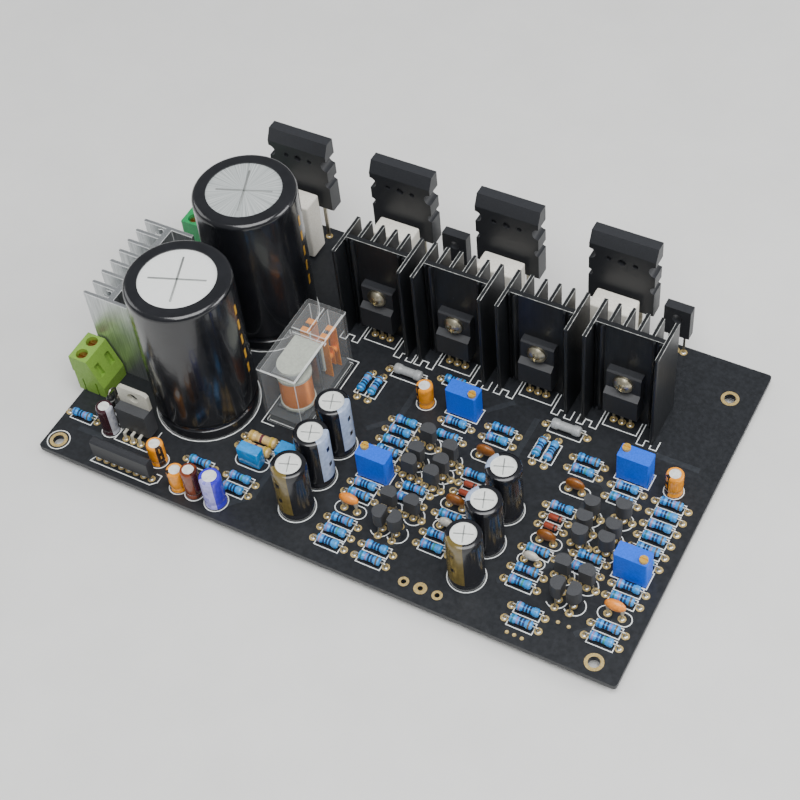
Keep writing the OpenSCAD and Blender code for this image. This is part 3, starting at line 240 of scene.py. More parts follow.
@dataclass(frozen=True)
class SplitFinish:
    """Two finishes on one solid: the second above one height, or in front of one depth, of the frame."""

    name: str
    first: Finish
    second: Finish
    above_mm: float
    before_mm: float

    def material(self) -> bpy.types.Material:
        """Builds the material once and returns it."""
        found = bpy.data.materials.get(self.name)
        if found:
            return found
        made = bpy.data.materials.new(self.name)
        made.use_nodes = True
        tree = made.node_tree
        shader = tree.nodes["Principled BSDF"]
        side = self.side(tree)
        noise = self.first.grain_pattern(tree)
        colour = add_node(tree, "ShaderNodeMix", {
            0: side, 6: self.first.base_colour(tree, noise), 7: self.second.base_colour(tree, noise)},
            data_type="RGBA").outputs[2]
        tree.links.new(colour, shader.inputs["Base Color"])
        for socket, pair in (("Metallic", (self.first.metallic, self.second.metallic)),
                             ("Roughness", (self.first.roughness, self.second.roughness))):
            step = add_node(tree, "ShaderNodeMapRange", {
                "Value": side, "To Min": pair[0], "To Max": pair[1]})
            tree.links.new(step.outputs["Result"], shader.inputs[socket])
        depth = self.first.grain_mm * MM * Finish.relief_depth
        bump = add_node(tree, "ShaderNodeBump", {
            "Strength": self.first.relief, "Distance": depth, "Height": noise})
        tree.links.new(bump.outputs["Normal"], shader.inputs["Normal"])
        return made

    def side(self, tree: bpy.types.NodeTree) -> bpy.types.NodeSocket:
        """Adds the test of place.

        Args:
            tree: The material's node tree.

        Returns:
            One where the second finish lies, else nought.
        """
        place = add_node(tree, "ShaderNodeTexCoord").outputs["Object"]
        split = add_node(tree, "ShaderNodeSeparateXYZ", {0: place})
        above = add_node(tree, "ShaderNodeMath", {0: split.outputs["Z"], 1: self.above_mm * MM},
                         operation="GREATER_THAN").outputs[0]
        before = add_node(tree, "ShaderNodeMath", {0: split.outputs["Y"], 1: self.before_mm * MM},
                          operation="LESS_THAN").outputs[0]
        return add_node(tree, "ShaderNodeMath", {0: above, 1: before}, operation="MAXIMUM").outputs[0]


class Finishes:
    """The finishes of the board's pieces."""

    # Solder mask over fibreglass: black and wet-looking, with a faint weave below
    board = Finish("solder_mask_black", "#1c1e21", "#25272b", 0.4, 1.2, relief=0.03, ior=1.42)
    # The same mask where copper runs below it: a shade lighter, with a soft raised edge
    track = Finish("solder_mask_over_copper", "#26292d", "#2e3136", 0.42, 1.2, relief=0.03, ior=1.42)
    # Epoxy ink, screened: flat white with soft edges
    ink = Finish("screened_ink_white", "#e6e8e6", "#cfd3d2", 0.55, 0.6)
    # Gold flash over nickel: pale yellow, soft sheen
    gold = Finish("gold_flash_pad", "#d6be82", "#a98f55", 0.42, 0.5, metallic=0.5)
    # Tin solder, cooled from liquid: bright grey with dull patches
    solder = Finish("tin_solder", "#c6c8c9", "#a3a6a8", 0.3, 0.5, metallic=1.0, relief=0.25)
    # Tinned copper wire, drawn: grey with fine streaks
    tin = Finish("tinned_copper_wire", "#cdc8bb", "#a8a397", 0.32, 0.4, metallic=1.0)
    # Shrink sleeve: smooth black film with small waves over the can
    sleeve = Finish("shrink_sleeve_black", "#141518", "#1b1c20", 0.2, 6.0, relief=0.12, coat=0.3)
    # Gold ink on the sleeve: satin yellow
    gold_ink = Finish("sleeve_gold_ink", "#b98d2c", "#a67a22", 0.4, 0.8)
    # Etched aluminium, pressed and scored: white-silver, with faint marks out from the middle
    front_disc = Finish("scored_aluminium_front", "#f6f8f6", "#e6e9e7", 0.45, 1.0, metallic=0.25,
                        grain=Grain.RADIAL, centre_mm=(-51.9, -16.0), relief=0.06)
    # The same, less etched: greyer, with plain streaks out from the middle
    rear_disc = Finish("scored_aluminium_rear", "#e2e6e5", "#8d9595", 0.4, 2.0, metallic=0.4,
                       grain=Grain.RADIAL, centre_mm=(-53.2, 20.4), relief=0.1)
    # Drawn aluminium cans, seen end on: bright satin
    can = Finish("drawn_aluminium_can", "#f0f2ee", "#dcdfda", 0.45, 0.8, metallic=0.25)
    # Pressed score line: dull grey, painted shade for the shadow in the groove
    score = Finish("score_line_painted_shade", "#8f9391", "#a4a8a6", 0.5, 0.4, metallic=0.5)
    # Extruded aluminium, mill finish: silver with die lines along its height
    mill = Finish("extruded_aluminium_mill", "#d2d5d6", "#a9adaf", 0.34, 0.35, metallic=0.9,
                  grain=Grain.ALONG_Z, relief=0.15)
    # Broken edges of the same extrusion: nearly white, a painted highlight where light catches them
    mill_edge_highlight = Finish("painted_mill_edge_highlight", "#f2f4f2", "#dadddb", 0.45, 0.5, metallic=0.3)
    # Black anodised extrusion: deep black with faint die lines, a satin sheen and small pale scuffs
    anodised = Finish("anodised_extrusion_black", "#141517", "#202225", 0.34, 0.3, grain=Grain.ALONG_Z,
                      relief=0.15, ior=1.45, scuff="#6a6c6e")
    # Painted highlight on the top edges of the black extrusion, where light catches them: pale grey, dark
    # again in places
    heatsink_edge_highlight = Finish("painted_heatsink_edge_highlight", "#dcdeda", "#4a4c4a", 0.4, 1.6, metallic=0.3)
    # Moulded epoxy: dark grey, fine sparked texture
    epoxy = Finish("moulded_epoxy_dark", "#222326", "#2c2e32", 0.45, 0.25, relief=0.25)
    # Moulded epoxy of small cases: a lighter, duller grey
    epoxy_grey = Finish("moulded_epoxy_grey", "#333437", "#3f4144", 0.55, 0.25, relief=0.25)
    # Nickel plate on steel: warm bright metal
    nickel = Finish("nickel_plated_steel", "#d6ceb4", "#b5ad94", 0.32, 0.6, metallic=1.0)
    # Copper plate on steel: brown-gold metal with dull spots
    copper_plate = Finish("copper_plated_steel", "#cf9a62", "#a9733f", 0.3, 0.5, metallic=1.0)
    # Cement in a ceramic trough: chalky white
    cement = Finish("white_cement", "#e4e1d8", "#cfcabd", 0.8, 0.4, relief=0.4)
    # Moulded polyamide: satin yellow-green with slight mottling
    lime = Finish("polyamide_lime", "#7fa644", "#73993b", 0.5, 0.5, relief=0.12, ior=1.45)
    # Moulded polyamide: satin blue-green with slight mottling
    emerald = Finish("polyamide_emerald", "#1f9a58", "#188a4c", 0.42, 0.5, relief=0.12)
    # Moulded glass-filled base of the relay: plain dark grey
    relay_base = Finish("moulded_relay_base", "#3c3f41", "#46494c", 0.5, 0.5)
    # Moulded natural plastic: milky grey-green, smooth
    milky = Finish("milky_relay_moulding", "#aeb2a6", "#9a9f92", 0.4, 0.8)
    # Clear polycarbonate, thin walled: near colourless with a faint white haze and a soft gloss
    clear = Finish("clear_polycarbonate", "#f4f6f6", "#e6ebec", 0.12, 3.0, alpha=0.05, ior=1.58,
                   relief=0.02)
    # Broken edges of the same cover: a white haze along them
    frosted = Finish("frosted_polycarbonate_edge", "#f2f4f2", "#d6dad8", 0.55, 1.0, alpha=0.6, ior=1.5)
    # Plated soft iron, stamped: even mid grey metal
    iron = Finish("plated_soft_iron", "#a3a5a8", "#8b8e92", 0.35, 0.5, metallic=1.0)
    # Enamelled copper winding: orange-brown and glossy
    winding = Finish("enamelled_copper_wire", "#e68c40", "#c06a26", 0.3, 0.4, metallic=0.6)
    # Rolled copper alloy strip: warm orange with a sheen
    contact = Finish("contact_copper_strip", "#f79a1e", "#dd7d10", 0.32, 0.5, metallic=0.3)
    # Moulded blue case: saturated and glossy
    blue_case = Finish("moulded_blue_case", "#0f62ea", "#0c55d2", 0.42, 0.5, relief=0.06, ior=1.45)
    # Turned brass: yellow with a soft sheen
    brass = Finish("turned_brass", "#e6bd58", "#c79a38", 0.36, 0.4, metallic=0.45)
    # Printed shrink film on small capacitors: glossy colour from the paint attribute
    film = Finish("printed_shrink_film", "#ffffff", "#dcdcdc", 0.22, 1.5, painted=True, coat=0.3,
                  relief=0.05)
    # Resistor lacquer: glossy, with bands from the paint attribute
    lacquer = Finish("resistor_lacquer", "#ffffff", "#d2d6d8", 0.3, 0.35, painted=True, coat=0.2,
                     relief=0.12)
    # Dipped resin: waxy, colour from the paint attribute
    resin = Finish("dipped_resin", "#ffffff", "#dcd4c8", 0.35, 0.6, painted=True, coat=0.15)
    # Tinned copper tab, stamped: pale silver, dull
    tab = Finish("tinned_copper_tab", "#dcdacd", "#c6c4b6", 0.45, 0.5, metallic=0.4)
    # Painted studio floor: even pale grey
    floor = Finish("studio_floor", "#dcdcda", "#d6d6d4", 0.6, 30.0, relief=0.0)


@dataclass(frozen=True)
class Solid:
    """The box of one separate solid of a CAD node, in millimetres, with the middle of its lowest points."""

    low: Vector
    high: Vector
    foot: Vector

    @property
    def centre(self) -> Vector:
        """Middle of the box."""
        return (self.low + self.high) / 2

    @property
    def size(self) -> Vector:
        """Lengths of the box."""
        return self.high - self.low

    @property
    def under(self) -> Vector:
        """Middle of the box's underside."""
        return Vector((self.centre.x, self.centre.y, self.low.z))


def box_mm(node: str) -> tuple[Vector, Vector]:
    """Low and high corner of a node's box, in millimetres."""
    low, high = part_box(node)
    return low / MM, high / MM


def solids(node: str, foot_depth: float = 0.02) -> list[Solid]:
    """Finds the separate solids of a CAD node.

    Args:
        node: The node's name.
        foot_depth: Height above the lowest point, in millimetres, up to which points are its foot.

    Returns:
        Their boxes, from left to right.
    """
    shape = bmesh.new()
    shape.from_mesh(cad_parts[node].data)
    bmesh.ops.remove_doubles(shape, verts=shape.verts, dist=SAME_POINT)
    found, seen = [], set()
    for start in shape.verts:
        if start in seen:
            continue
        group, front = [], [start]
        seen.add(start)
        while front:
            vert = front.pop()
            group.append(vert.co / MM)
            for edge in vert.link_edges:
                other = edge.other_vert(vert)
                if other not in seen:
                    seen.add(other)
                    front.append(other)
        low = Vector(min(p[i] for p in group) for i in range(3))
        high = Vector(max(p[i] for p in group) for i in range(3))
        feet = [p for p in group if p.z < low.z + foot_depth]
        found.append(Solid(low, high, sum(feet, Vector()) / len(feet)))
    shape.free()
    return sorted(found, key=lambda s: (round(s.centre.x, 2), round(s.centre.y, 2)))


def plain(height: float, radius: float, angle: float) -> str:
    """White, for a piece whose finish has its own colour."""
    return "#ffffff"


def angle_off(angle: float, facing: float) -> float:
    """Angle in degrees between two directions, from 0 to 180."""
    return abs((angle - facing + 180) % 360 - 180)


def paint_faces(shape: bmesh.types.BMesh, paint: Paint) -> None:
    """Colours each face by its place.

    Args:
        shape: The mesh, about the Z axis.
        paint: The colour of each face.
    """
    layer = shape.loops.layers.float_color.new("paint")
    for face in shape.faces:
        face.smooth = True
        c = face.calc_center_median() / MM
        colour = linear(paint(c.z, math.hypot(c.x, c.y), math.degrees(math.atan2(c.y, c.x))))
        for loop in face.loops:
            loop[layer] = colour


def to_stock(shape: bmesh.types.BMesh, sharp: float = 35.0) -> bpy.types.Mesh:
    """Turns a bmesh into a mesh with soft shading up to an angle.

    Args:
        shape: The bmesh, which is freed.
        sharp: The angle in degrees past which an edge stays hard.

    Returns:
        The mesh.
    """
    mesh = bpy.data.meshes.new("stock")
    shape.to_mesh(mesh)
    shape.free()
    mesh.set_sharp_from_angle(angle=math.radians(sharp))
    return mesh


def turned(profile: Sequence[tuple[float, float]], paint: Paint = plain, steps: int = 24) -> bpy.types.Mesh:
    """Spins a profile about Z.

    Args:
        profile: Radius and height in millimetres, from one end to the other.
        paint: The colour of each face.
        steps: Number of steps round.

    Returns:
        The turned mesh.
    """
    shape = bmesh.new()
    verts = [shape.verts.new((r * MM, 0.0, z * MM)) for r, z in profile]
    edges = [shape.edges.new(pair) for pair in zip(verts, verts[1:])]
    bmesh.ops.spin(shape, geom=verts + edges, cent=(0, 0, 0), axis=(0, 0, 1), angle=math.tau,
                   steps=steps, use_merge=True)
    bmesh.ops.remove_doubles(shape, verts=shape.verts, dist=SAME_POINT)
    bmesh.ops.recalc_face_normals(shape, faces=shape.faces)
    paint_faces(shape, paint)
    return to_stock(shape)


# Angle in degrees past which an edge of a moulded shape stays hard
MOULDED_SHARP = 50.0


def moulded(size: Vector, edge: float, paint: Paint = plain, segments: int = 3) -> bpy.types.Mesh:
    """Makes a box with round edges, its foot at the origin.

    Args:
        size: Lengths in millimetres.
        edge: Edge radius in millimetres.
        paint: The colour of each face.
        segments: Faces across an edge.

    Returns:
        The box.
    """
    shape = bmesh.new()
    bmesh.ops.create_cube(shape, size=1.0)
    bmesh.ops.scale(shape, vec=size * MM, verts=shape.verts)
    bmesh.ops.translate(shape, vec=(0, 0, size.z * MM / 2), verts=shape.verts)
    bmesh.ops.bevel(shape, geom=shape.edges[:], offset=edge * MM, affect="EDGES", segments=segments,
                    profile=0.5, material=-1)
    paint_faces(shape, paint)
    return to_stock(shape, MOULDED_SHARP)


def hoop(radii: tuple[float, float], heights: tuple[float, float], start: float,
         sweep: float) -> bpy.types.Mesh:
    """Makes a closed band round Z.

    Args:
        radii: Inner and outer radius in millimetres.
        heights: Low and high end in millimetres.
        start: First angle in degrees.
        sweep: Angle covered in degrees.

    Returns:
        The band.
    """
    shape = bmesh.new()
    (r0, r1), (z0, z1) = (tuple(v * MM for v in pair) for pair in (radii, heights))
    verts = [shape.verts.new(p) for p in ((r0, 0, z0), (r1, 0, z0), (r1, 0, z1), (r0, 0, z1))]
    edges = [shape.edges.new((verts[i], verts[(i + 1) % 4])) for i in range(4)]
    bmesh.ops.rotate(shape, verts=verts, matrix=Matrix.Rotation(math.radians(start), 3, "Z"))
    bmesh.ops.spin(shape, geom=verts + edges, cent=(0, 0, 0), axis=(0, 0, 1), angle=math.radians(sweep),
                   steps=max(4, int(sweep / 10)), use_merge=sweep >= 360)
    bmesh.ops.remove_doubles(shape, verts=shape.verts, dist=SAME_POINT)
    if sweep < 360:
        bmesh.ops.holes_fill(shape, edges=shape.edges[:], sides=4)
    bmesh.ops.recalc_face_normals(shape, faces=shape.faces)
    paint_faces(shape, plain)
    return to_stock(shape)


def about_z(degrees: float) -> Matrix:
    """Turn about the upright axis."""
    return Matrix.Rotation(math.radians(degrees), 4, "Z")


LIE_X = Matrix.Rotation(math.radians(90), 4, "Y")
LIE_Y = Matrix.Rotation(math.radians(-90), 4, "X")


def lying(solid: Solid) -> Matrix:
    """Turn that lays a standing shape along the longer side of a solid."""
    return LIE_X if solid.size.x > solid.size.y else LIE_Y


class Piece:
    """A mesh that is put together from stock and rides on a body."""

    def __init__(self, name: str, finish: Finish, body: str = BOARD) -> None:
        """Starts an empty piece.

        Args:
            name: The piece's name.
            finish: Its finish.
            body: The body that it rides on.
        """
        self.name, self.finish, self.body = name, finish, body
        self.shape = bmesh.new()

    def place(self, stock: bpy.types.Mesh, at: Vector, turn: Matrix | None = None) -> None:
        """Adds a copy of a stock mesh.

        Args:
            stock: The mesh.
            at: Its place in millimetres.
            turn: A rotation before it is placed.
        """
        copy = stock.copy()
        copy.transform(Matrix.Translation(at * MM) @ (turn or Matrix.Identity(4)))
        self.shape.from_mesh(copy)
        bpy.data.meshes.remove(copy)

    def done(self, slot: str, *nodes: str) -> bpy.types.Object:
        """Ends the piece.

        Args:
            slot: The record's material slot; not used.
            nodes: CAD nodes that it stands for.

        Returns:
            The object.
        """
        mesh = bpy.data.meshes.new(self.name)
        self.shape.to_mesh(mesh)
        self.shape.free()
        mesh.materials.append(self.finish.material())
        made = bpy.data.objects.new(self.name, mesh)
        bpy.context.scene.collection.objects.link(made)
        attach(made, self.body)
        if nodes:
            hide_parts(*nodes)
        LOG.info("%s: %d faces", self.name, len(mesh.polygons))
        return made


class Strips(Piece):
    """Thin strips on a flat face. Crossing strips differ by a hair in height, so that no faces coincide."""

    hair: float = 0.002
    heights: int = 5
    laid: int = 0

    def line(self, a: Sequence[float], b: Sequence[float], width: float, height: float,
             level: float = CORNER.z) -> None:
        """Lays a strip between two places.

        Args:
            a: First end, in frame millimetres.
            b: Second end, in frame millimetres.
            width: Width of the strip in millimetres.
            height: Thickness of the strip in millimetres.
            level: Height of the face that it lies on, in frame millimetres.
        """
        height += self.hair * (self.laid % self.heights)
        self.laid += 1
        start, end = Vector((a[0], a[1], 0)), Vector((b[0], b[1], 0))
        run, middle = end - start, (start + end) / 2
        shape = bmesh.new()
        bmesh.ops.create_cube(shape, size=1.0)
        size = Vector((run.length + width, width, height))
        bmesh.ops.scale(shape, verts=shape.verts, vec=size * MM)
        paint_faces(shape, plain)
        stock = to_stock(shape)
        self.place(stock, Vector((middle.x, middle.y, level + height / 2)),
                   Matrix.Rotation(math.atan2(run.y, run.x), 4, "Z"))
        bpy.data.meshes.remove(stock)


@dataclass
class BoardTracks:
    """Wide copper tracks that show as faint raised lines through the mask."""

    width: float = 1.8
    height: float = 0.02
    # Places on the board from its front left corner, in millimetres
    routes: tuple[tuple[tuple[float, float], ...], ...] = (
        ((8.0, 10.5), (14.0, 10.5), (17.0, 7.5), (17.0, 2.5)),
        ((46.0, 5.0), (60.0, 5.0), (66.0, 11.0), (66.0, 30.0)),
        ((101.0, 6.0), (109.0, 14.0), (109.0, 44.0)), ((120.0, 40.0), (126.0, 46.0), (126.0, 68.0)),
        ((140.0, 16.0), (150.0, 26.0), (150.0, 47.0)), ((165.0, 10.0), (172.0, 17.0), (172.0, 27.0)),
        ((84.0, 46.0), (90.0, 52.0), (90.0, 69.0)), ((154.0, 66.0), (160.0, 71.0), (173.0, 71.0)),
        ((112.0, 66.0), (117.0, 71.0)), ((50.0, 12.0), (55.0, 7.0)),
        ((142.0, 56.0), (152.0, 56.0), (156.0, 52.0)))

    def build(self) -> None:
        """Lays the tracks."""
        piece = Strips("copper_tracks", Finishes.track)
        for route in self.routes:
            points = [(CORNER.x + x, CORNER.y + y) for x, y in route]
            for a, b in zip(points, points[1:]):
                piece.line(a, b, self.width, self.height)
        piece.done("board")


@dataclass
class BoardPrint:
    """White print on the board, as thin strips of ink. All sizes are in millimetres."""

    width: float = 0.3
    height: float = 0.035
    # Nodes with a frame round each solid, and its distance
    framed: tuple[tuple[str, float], ...] = (
        ("signal_resistors", 0.45), ("power_resistors", 0.5), ("diodes", 0.4), ("trimmer_cases", 0.3))
    # Nodes with a ring round each solid
    ringed: tuple[str, ...] = (
        "small_capacitors", "channel_capacitor_sleeves", "front_capacitor_sleeve", "rear_capacitor_sleeve")
    # How far a round-ended outline lies from the ends and the sides of a capacitor
    stadium_gap: tuple[float, float] = (1.7, 0.7)
    # Radius, first angle and sweep of the arc round a small transistor
    transistor_arc: tuple[float, float, float] = (2.9, -140.0, 200.0)
    # Gap round the relay, and length of the ends of its outline
    relay_gap: float = 1.0
    relay_end: float = 4.0
    # Gaps left and right of the chip, in front of and behind it, and the cut of its outline's corner
    chip_gap: tuple[float, float, float] = (1.2, 1.4, 0.7)
    chip_cut: float = 1.6
    # Gaps beside and in front of the regulator
    regulator_gap: tuple[float, float] = (0.6, 1.4)
    # Place of the front left hole from both edges of the board, and the ring round it
    hole_at: float = 4.2
    hole_r: float = 3.3
    # How far a driver's leads stand right of the middle of its heatsink
    lead_shift: float = 0.4
    # Half width, front and back of the box round a driver's leads, from the board's front edge
    lead_box: tuple[float, float, float] = (5.1, 74.8, 79.5)
    # Stepped line beside a driver heatsink: distance from its middle and from the board's front edge
    sink_steps: tuple[tuple[float, float], ...] = (
        (6.1, 79.6), (6.1, 72.4), (8.1, 72.4), (8.1, 74.5), (10.1, 74.5), (10.1, 72.3), (12.1, 72.3),
        (12.1, 75.5))
    piece: Strips = field(default_factory=lambda: Strips("board_print", Finishes.ink))

    def path(self, *points: Sequence[float]) -> None:
        """Draws strips from point to point."""
        for a, b in zip(points, points[1:]):
            self.piece.line(a, b, self.width, self.height)

    def frame(self, low: Sequence[float], high: Sequence[float], gap: float) -> None:
        """Draws a rectangle at a distance round another."""
        x0, y0, x1, y1 = low[0] - gap, low[1] - gap, high[0] + gap, high[1] + gap
        self.path((x0, y0), (x1, y0), (x1, y1), (x0, y1), (x0, y0))

    def arc(self, at: Vector, radius: float, start: float = 0.0, sweep: float = 360.0) -> None:
        """Draws a round strip.

        Args:
            at: Its centre in frame millimetres.
            radius: Radius in millimetres.
            start: First angle in degrees.
            sweep: Angle covered in degrees.
        """
        half = self.width / 2
        stock = hoop((radius - half, radius + half), (CORNER.z, CORNER.z + self.height), start, sweep)
        self.piece.place(stock, Vector((at.x, at.y, 0)))
        bpy.data.meshes.remove(stock)

    def build(self) -> None:
        """Draws the outline of each part on the board."""
        for name, gap in self.framed:
            for solid in solids(name):
                self.frame(solid.low, solid.high, gap)
        for name in self.ringed:
            for solid in solids(name):
                self.arc(solid.centre, solid.size.x / 2 + self.width)
        ends, sides = self.stadium_gap
        for solid in solids("dipped_capacitors") + solids("film_capacitors"):
            self.stadium(solid.centre, solid.size.x / 2 + ends, solid.size.y / 2 + sides)
        for solid in solids("small_transistors"):
            self.arc(solid.centre, *self.transistor_arc)
        for index in range(1, NUMBERED + 1):
            low, high = box_mm(f"driver_heatsink_{index}")
            self.sink_outline((low.x + high.x) / 2 + self.lead_shift)
        self.relay_outline()
        self.chip_outline()
        self.arc(CORNER + Vector((self.hole_at, self.hole_at, 0)), self.hole_r)
        self.piece.done("board")

    def relay_outline(self) -> None:
        """Draws a bracket at each side of the relay."""
        low, high = box_mm("relay_cover")
        y0, y1 = low.y - self.relay_gap, high.y + self.relay_gap
        for x, side in ((low.x - self.relay_gap, 1), (high.x + self.relay_gap, -1)):
            end = x + side * self.relay_end
            self.path((end, y1), (x, y1), (x, y0), (end, y0))

    def chip_outline(self) -> None:
        """Draws the boxes round the chip's and the regulator's leads."""
        low, high = box_mm("protection_chip")
        left, right, front = self.chip_gap
        x0, x1, y0, y1, cut = low.x - left, high.x + right, low.y - front, high.y + front, self.chip_cut
        self.path((x0 + cut, y1), (x0, y0), (x1 - cut, y0), (x1, y0 + cut), (x1, y1), (x1 - cut, y1))
        low, high = box_mm("regulator")
        beside, before = self.regulator_gap
        x0, x1, y0 = low.x - beside, high.x + beside, low.y - before
        self.path((low.x, high.y), (x0, y0), (x1, y0), (x1, high.y))

    def stadium(self, at: Vector, half: float, radius: float) -> None:
        """Draws two lines closed by half circles.

        Args:
            at: Centre in frame millimetres.
            half: Half of the straight length plus the radius.
            radius: Radius of the ends.
        """
        for side in (-1, 1):
            end = Vector((at.x + side * (half - radius), at.y, 0))
            self.arc(end, radius, -90.0 if side > 0 else 90.0, 180.0)
            y = at.y + side * radius
            self.path((at.x - half + radius, y), (at.x + half - radius, y))

    def sink_outline(self, middle: float) -> None:
        """Draws the box round a driver's leads and the stepped line at each side of it.

        Args:
            middle: Place of the leads along the board, in frame millimetres.
        """
        half, front, back = self.lead_box
        front, back = CORNER.y + front, CORNER.y + back
        left, right = middle - half, middle + half
        self.path((left, back), (left, front), (right, front), (right, back))
        for side in (-1, 1):
            self.path(*((middle + side * x, CORNER.y + y) for x, y in self.sink_steps))


@dataclass
class BoardPads:
    """Gold pads and solder where the leads meet the board. All sizes are in millimetres."""

    pad_r: float = 1.15
    pad_t: float = 0.05
    solder_r: float = 0.62
    solder_h: float = 0.45
    lead_r: float = 0.3
    via_r: float = 0.55
    # Vias from the board's front left corner
    vias: tuple[tuple[float, float], ...] = (
        (148.5, 2.6), (150.6, 2.6), (152.8, 2.5), (159.1, 10.9), (162.2, 10.8))
    # Inner and outer radius of the rings round mounting, wire and ground holes
    mount_ring: tuple[float, float] = (1.65, 2.6)
    wire_ring: tuple[float, float] = (0.72, 1.5)
    ground_ring: tuple[float, float] = (0.72, 1.85)
    # Place of the mounting holes from the middle of the frame
    mount_at: tuple[float, float] = (84.0, 47.0)
    # First of the three input holes and of the three supply holes from the corner, and their distance
    input_at: tuple[float, float] = (117.2, 4.6)
    supply_at: tuple[float, float] = (3.6, 69.6)
    wire_pitch: float = 5.0
    # Middle lead of the regulator from the corner, and the distance of its leads
    regulator_at: tuple[float, float] = (24.6, 12.9)
    regulator_pitch: float = 2.54
    # How near to the board a lead ends that has a pad
    reach: float = 0.05

    def ring(self, inner: float, outer: float) -> bpy.types.Mesh:
        """Makes a flat ring on the board.

        Args:
            inner: Inner radius in millimetres.
            outer: Outer radius in millimetres.

        Returns:
            The ring.
        """
        t = self.pad_t
        return turned([(inner, 0), (inner, t), (outer, t), (outer, 0)], steps=28)

    def via(self) -> bpy.types.Mesh:
        """Makes a via with a dimple."""
        r, t = self.via_r, self.pad_t
        return turned([(r, 0), (r, t), (r * 0.4, t), (r * 0.3, t * 0.4), (0, t * 0.4)], steps=12)

    def build(self) -> None:
        """Puts a pad and a fillet of solder at each lead, and rings round the open holes."""
        pads, solder = Piece("gold_pads", Finishes.gold), Piece("solder_fillets", Finishes.solder)
        pad = turned([(self.pad_r, 0), (self.pad_r, self.pad_t), (0, self.pad_t)], steps=14)
        fillet = turned([(self.solder_r, self.pad_t), (self.solder_r * 0.6, self.solder_h * 0.45),
                         (self.lead_r, self.solder_h)], steps=12)
        joints = [Vector((lead.foot.x, lead.foot.y, CORNER.z)) for lead in solids("component_leads")
                  if abs(lead.low.z - CORNER.z) < self.reach]
        x, y = self.regulator_at
        joints += [CORNER + Vector((x + self.regulator_pitch * step, y, 0)) for step in (-1, 0, 1)]
        for at in joints:
            pads.place(pad, at)
            solder.place(fillet, at)
        via = self.via()
        for x, y in self.vias:
            pads.place(via, CORNER + Vector((x, y, 0)))
        mount = self.ring(*self.mount_ring)
        for x in (-self.mount_at[0], self.mount_at[0]):
            for y in (-self.mount_at[1], self.mount_at[1]):
                pads.place(mount, Vector((x, y, CORNER.z)))
        wire, ground = self.ring(*self.wire_ring), self.ring(*self.ground_ring)
        inputs, supply = (CORNER + Vector((*at, 0)) for at in (self.input_at, self.supply_at))
        for step in range(3):
            along = self.wire_pitch * step
            pads.place(ground if step == 1 else wire, inputs + Vector((along, 0, 0)))
            pads.place(wire, supply + Vector((0, along, 0)))
        pads.done("tin")
        solder.done("tin")


class BandCode(Enum):
    """Colours of the bands on a resistor, from one end to the other."""

    BROWN = ("#2f5f9c", "#1d2a4a", "#1d2a4a", "#8d7fb4", "#6a5a4a")
    VIOLET = ("#8d7fb4", "#2a4a8c", "#1d2a4a", "#3d8f86", "#4a90c8")
    LILAC = ("#a58aa8", "#2a3a6a", "#1d2a4a", "#1d2a4a", "#4a90c8")
    TEAL = ("#2b6f86", "#8d7fb4", "#1d2a4a", "#2a3a6a", "#6a5a4a")
    TAN = ("#c0a050", "#c9a86a", "#6a3040", "#d8b878", "#c8aa3c")
    NONE = ()


@dataclass
class Resistors:
    """Blue signal resistors with five colour bands, and the tan and grey power resistors."""

    blue: str = "#2a97e8"
    tan: str = "#d8b878"
    grey: str = "#a4a6a6"
    # Length of an end cap and half width of a band, as shares of the length
    cap_share: float = 0.28
    band_share: float = 0.045
    # Radius between the caps, as a share of theirs
    neck_share: float = 0.82
    # Part of a cap that is rounded at its end, and the part up to which it has its full radius
    round_share: float = 0.28
    full_share: float = 0.8
    # Places of the bands, in caps from the near end and from the far end
    near_bands: tuple[float, ...] = (0.5, 1.25, 1.75)
    far_bands: tuple[float, ...] = (1.3, 0.5)
    # Step through the codes from one resistor to the next
    code_step: int = 7

    def banded(self, length: float, radius: float, body: str, code: BandCode) -> bpy.types.Mesh:
        """Makes a resistor about Z, its middle at the origin.

        Args:
            length: Length in millimetres.
            radius: Radius of the end caps.
            body: Colour of the lacquer.
            code: Colours of the bands.

        Returns:
            The resistor.
        """
        half, cap, neck = length / 2, length * self.cap_share, radius * self.neck_share
        marks = [-half + cap * n for n in self.near_bands] + [half - cap * n for n in self.far_bands]
        wide = length * self.band_share

        def paint(z: float, r: float, t: float) -> str:
            """Colour of a face by its height."""
            for place, colour in zip(marks, code.value):
                if abs(z - place) < wide:
                    return colour
            return body

        rounding = [(0.0, -half), (radius * 0.55, -half), (radius * 0.86, -half + cap * 0.1)]
        ends = [half - cap * n for n in (self.round_share, self.full_share, 1.0)]
        stops = sorted([-z for z in ends] + ends + [m + s * wide for m in marks for s in (-1, 1)])
        profile = list(rounding)
        for z in stops:
            inside = half - abs(z)
            waist = neck if inside >= cap else (neck + radius) / 2
            profile.append((radius if inside <= cap * self.full_share else waist, z))
        profile += [(r, -z) for r, z in reversed(rounding)]
        return turned(profile, paint, 16)

    def build(self) -> None:
        """Makes all resistors."""
        codes = (BandCode.BROWN, BandCode.VIOLET, BandCode.LILAC, BandCode.TEAL)
        piece = Piece("banded_resistors", Finishes.lacquer)
        for index, solid in enumerate(solids("signal_resistors")):
            code = codes[(index * self.code_step) % len(codes)]
            stock = self.banded(max(solid.size), solid.size.z / 2, self.blue, code)
            piece.place(stock, solid.centre, lying(solid))
        piece.done("resistor_blue", "signal_resistors")
        piece = Piece("power_resistor_bodies", Finishes.lacquer)
        for solid in solids("power_resistors"):
            front = solid.centre.y < 0
            body, code = (self.tan, BandCode.TAN) if front else (self.grey, BandCode.NONE)
            stock = self.banded(max(solid.size), solid.size.z / 2, body, code)
            piece.place(stock, solid.centre, lying(solid))
        piece.done("resistor_tan", "power_resistors")


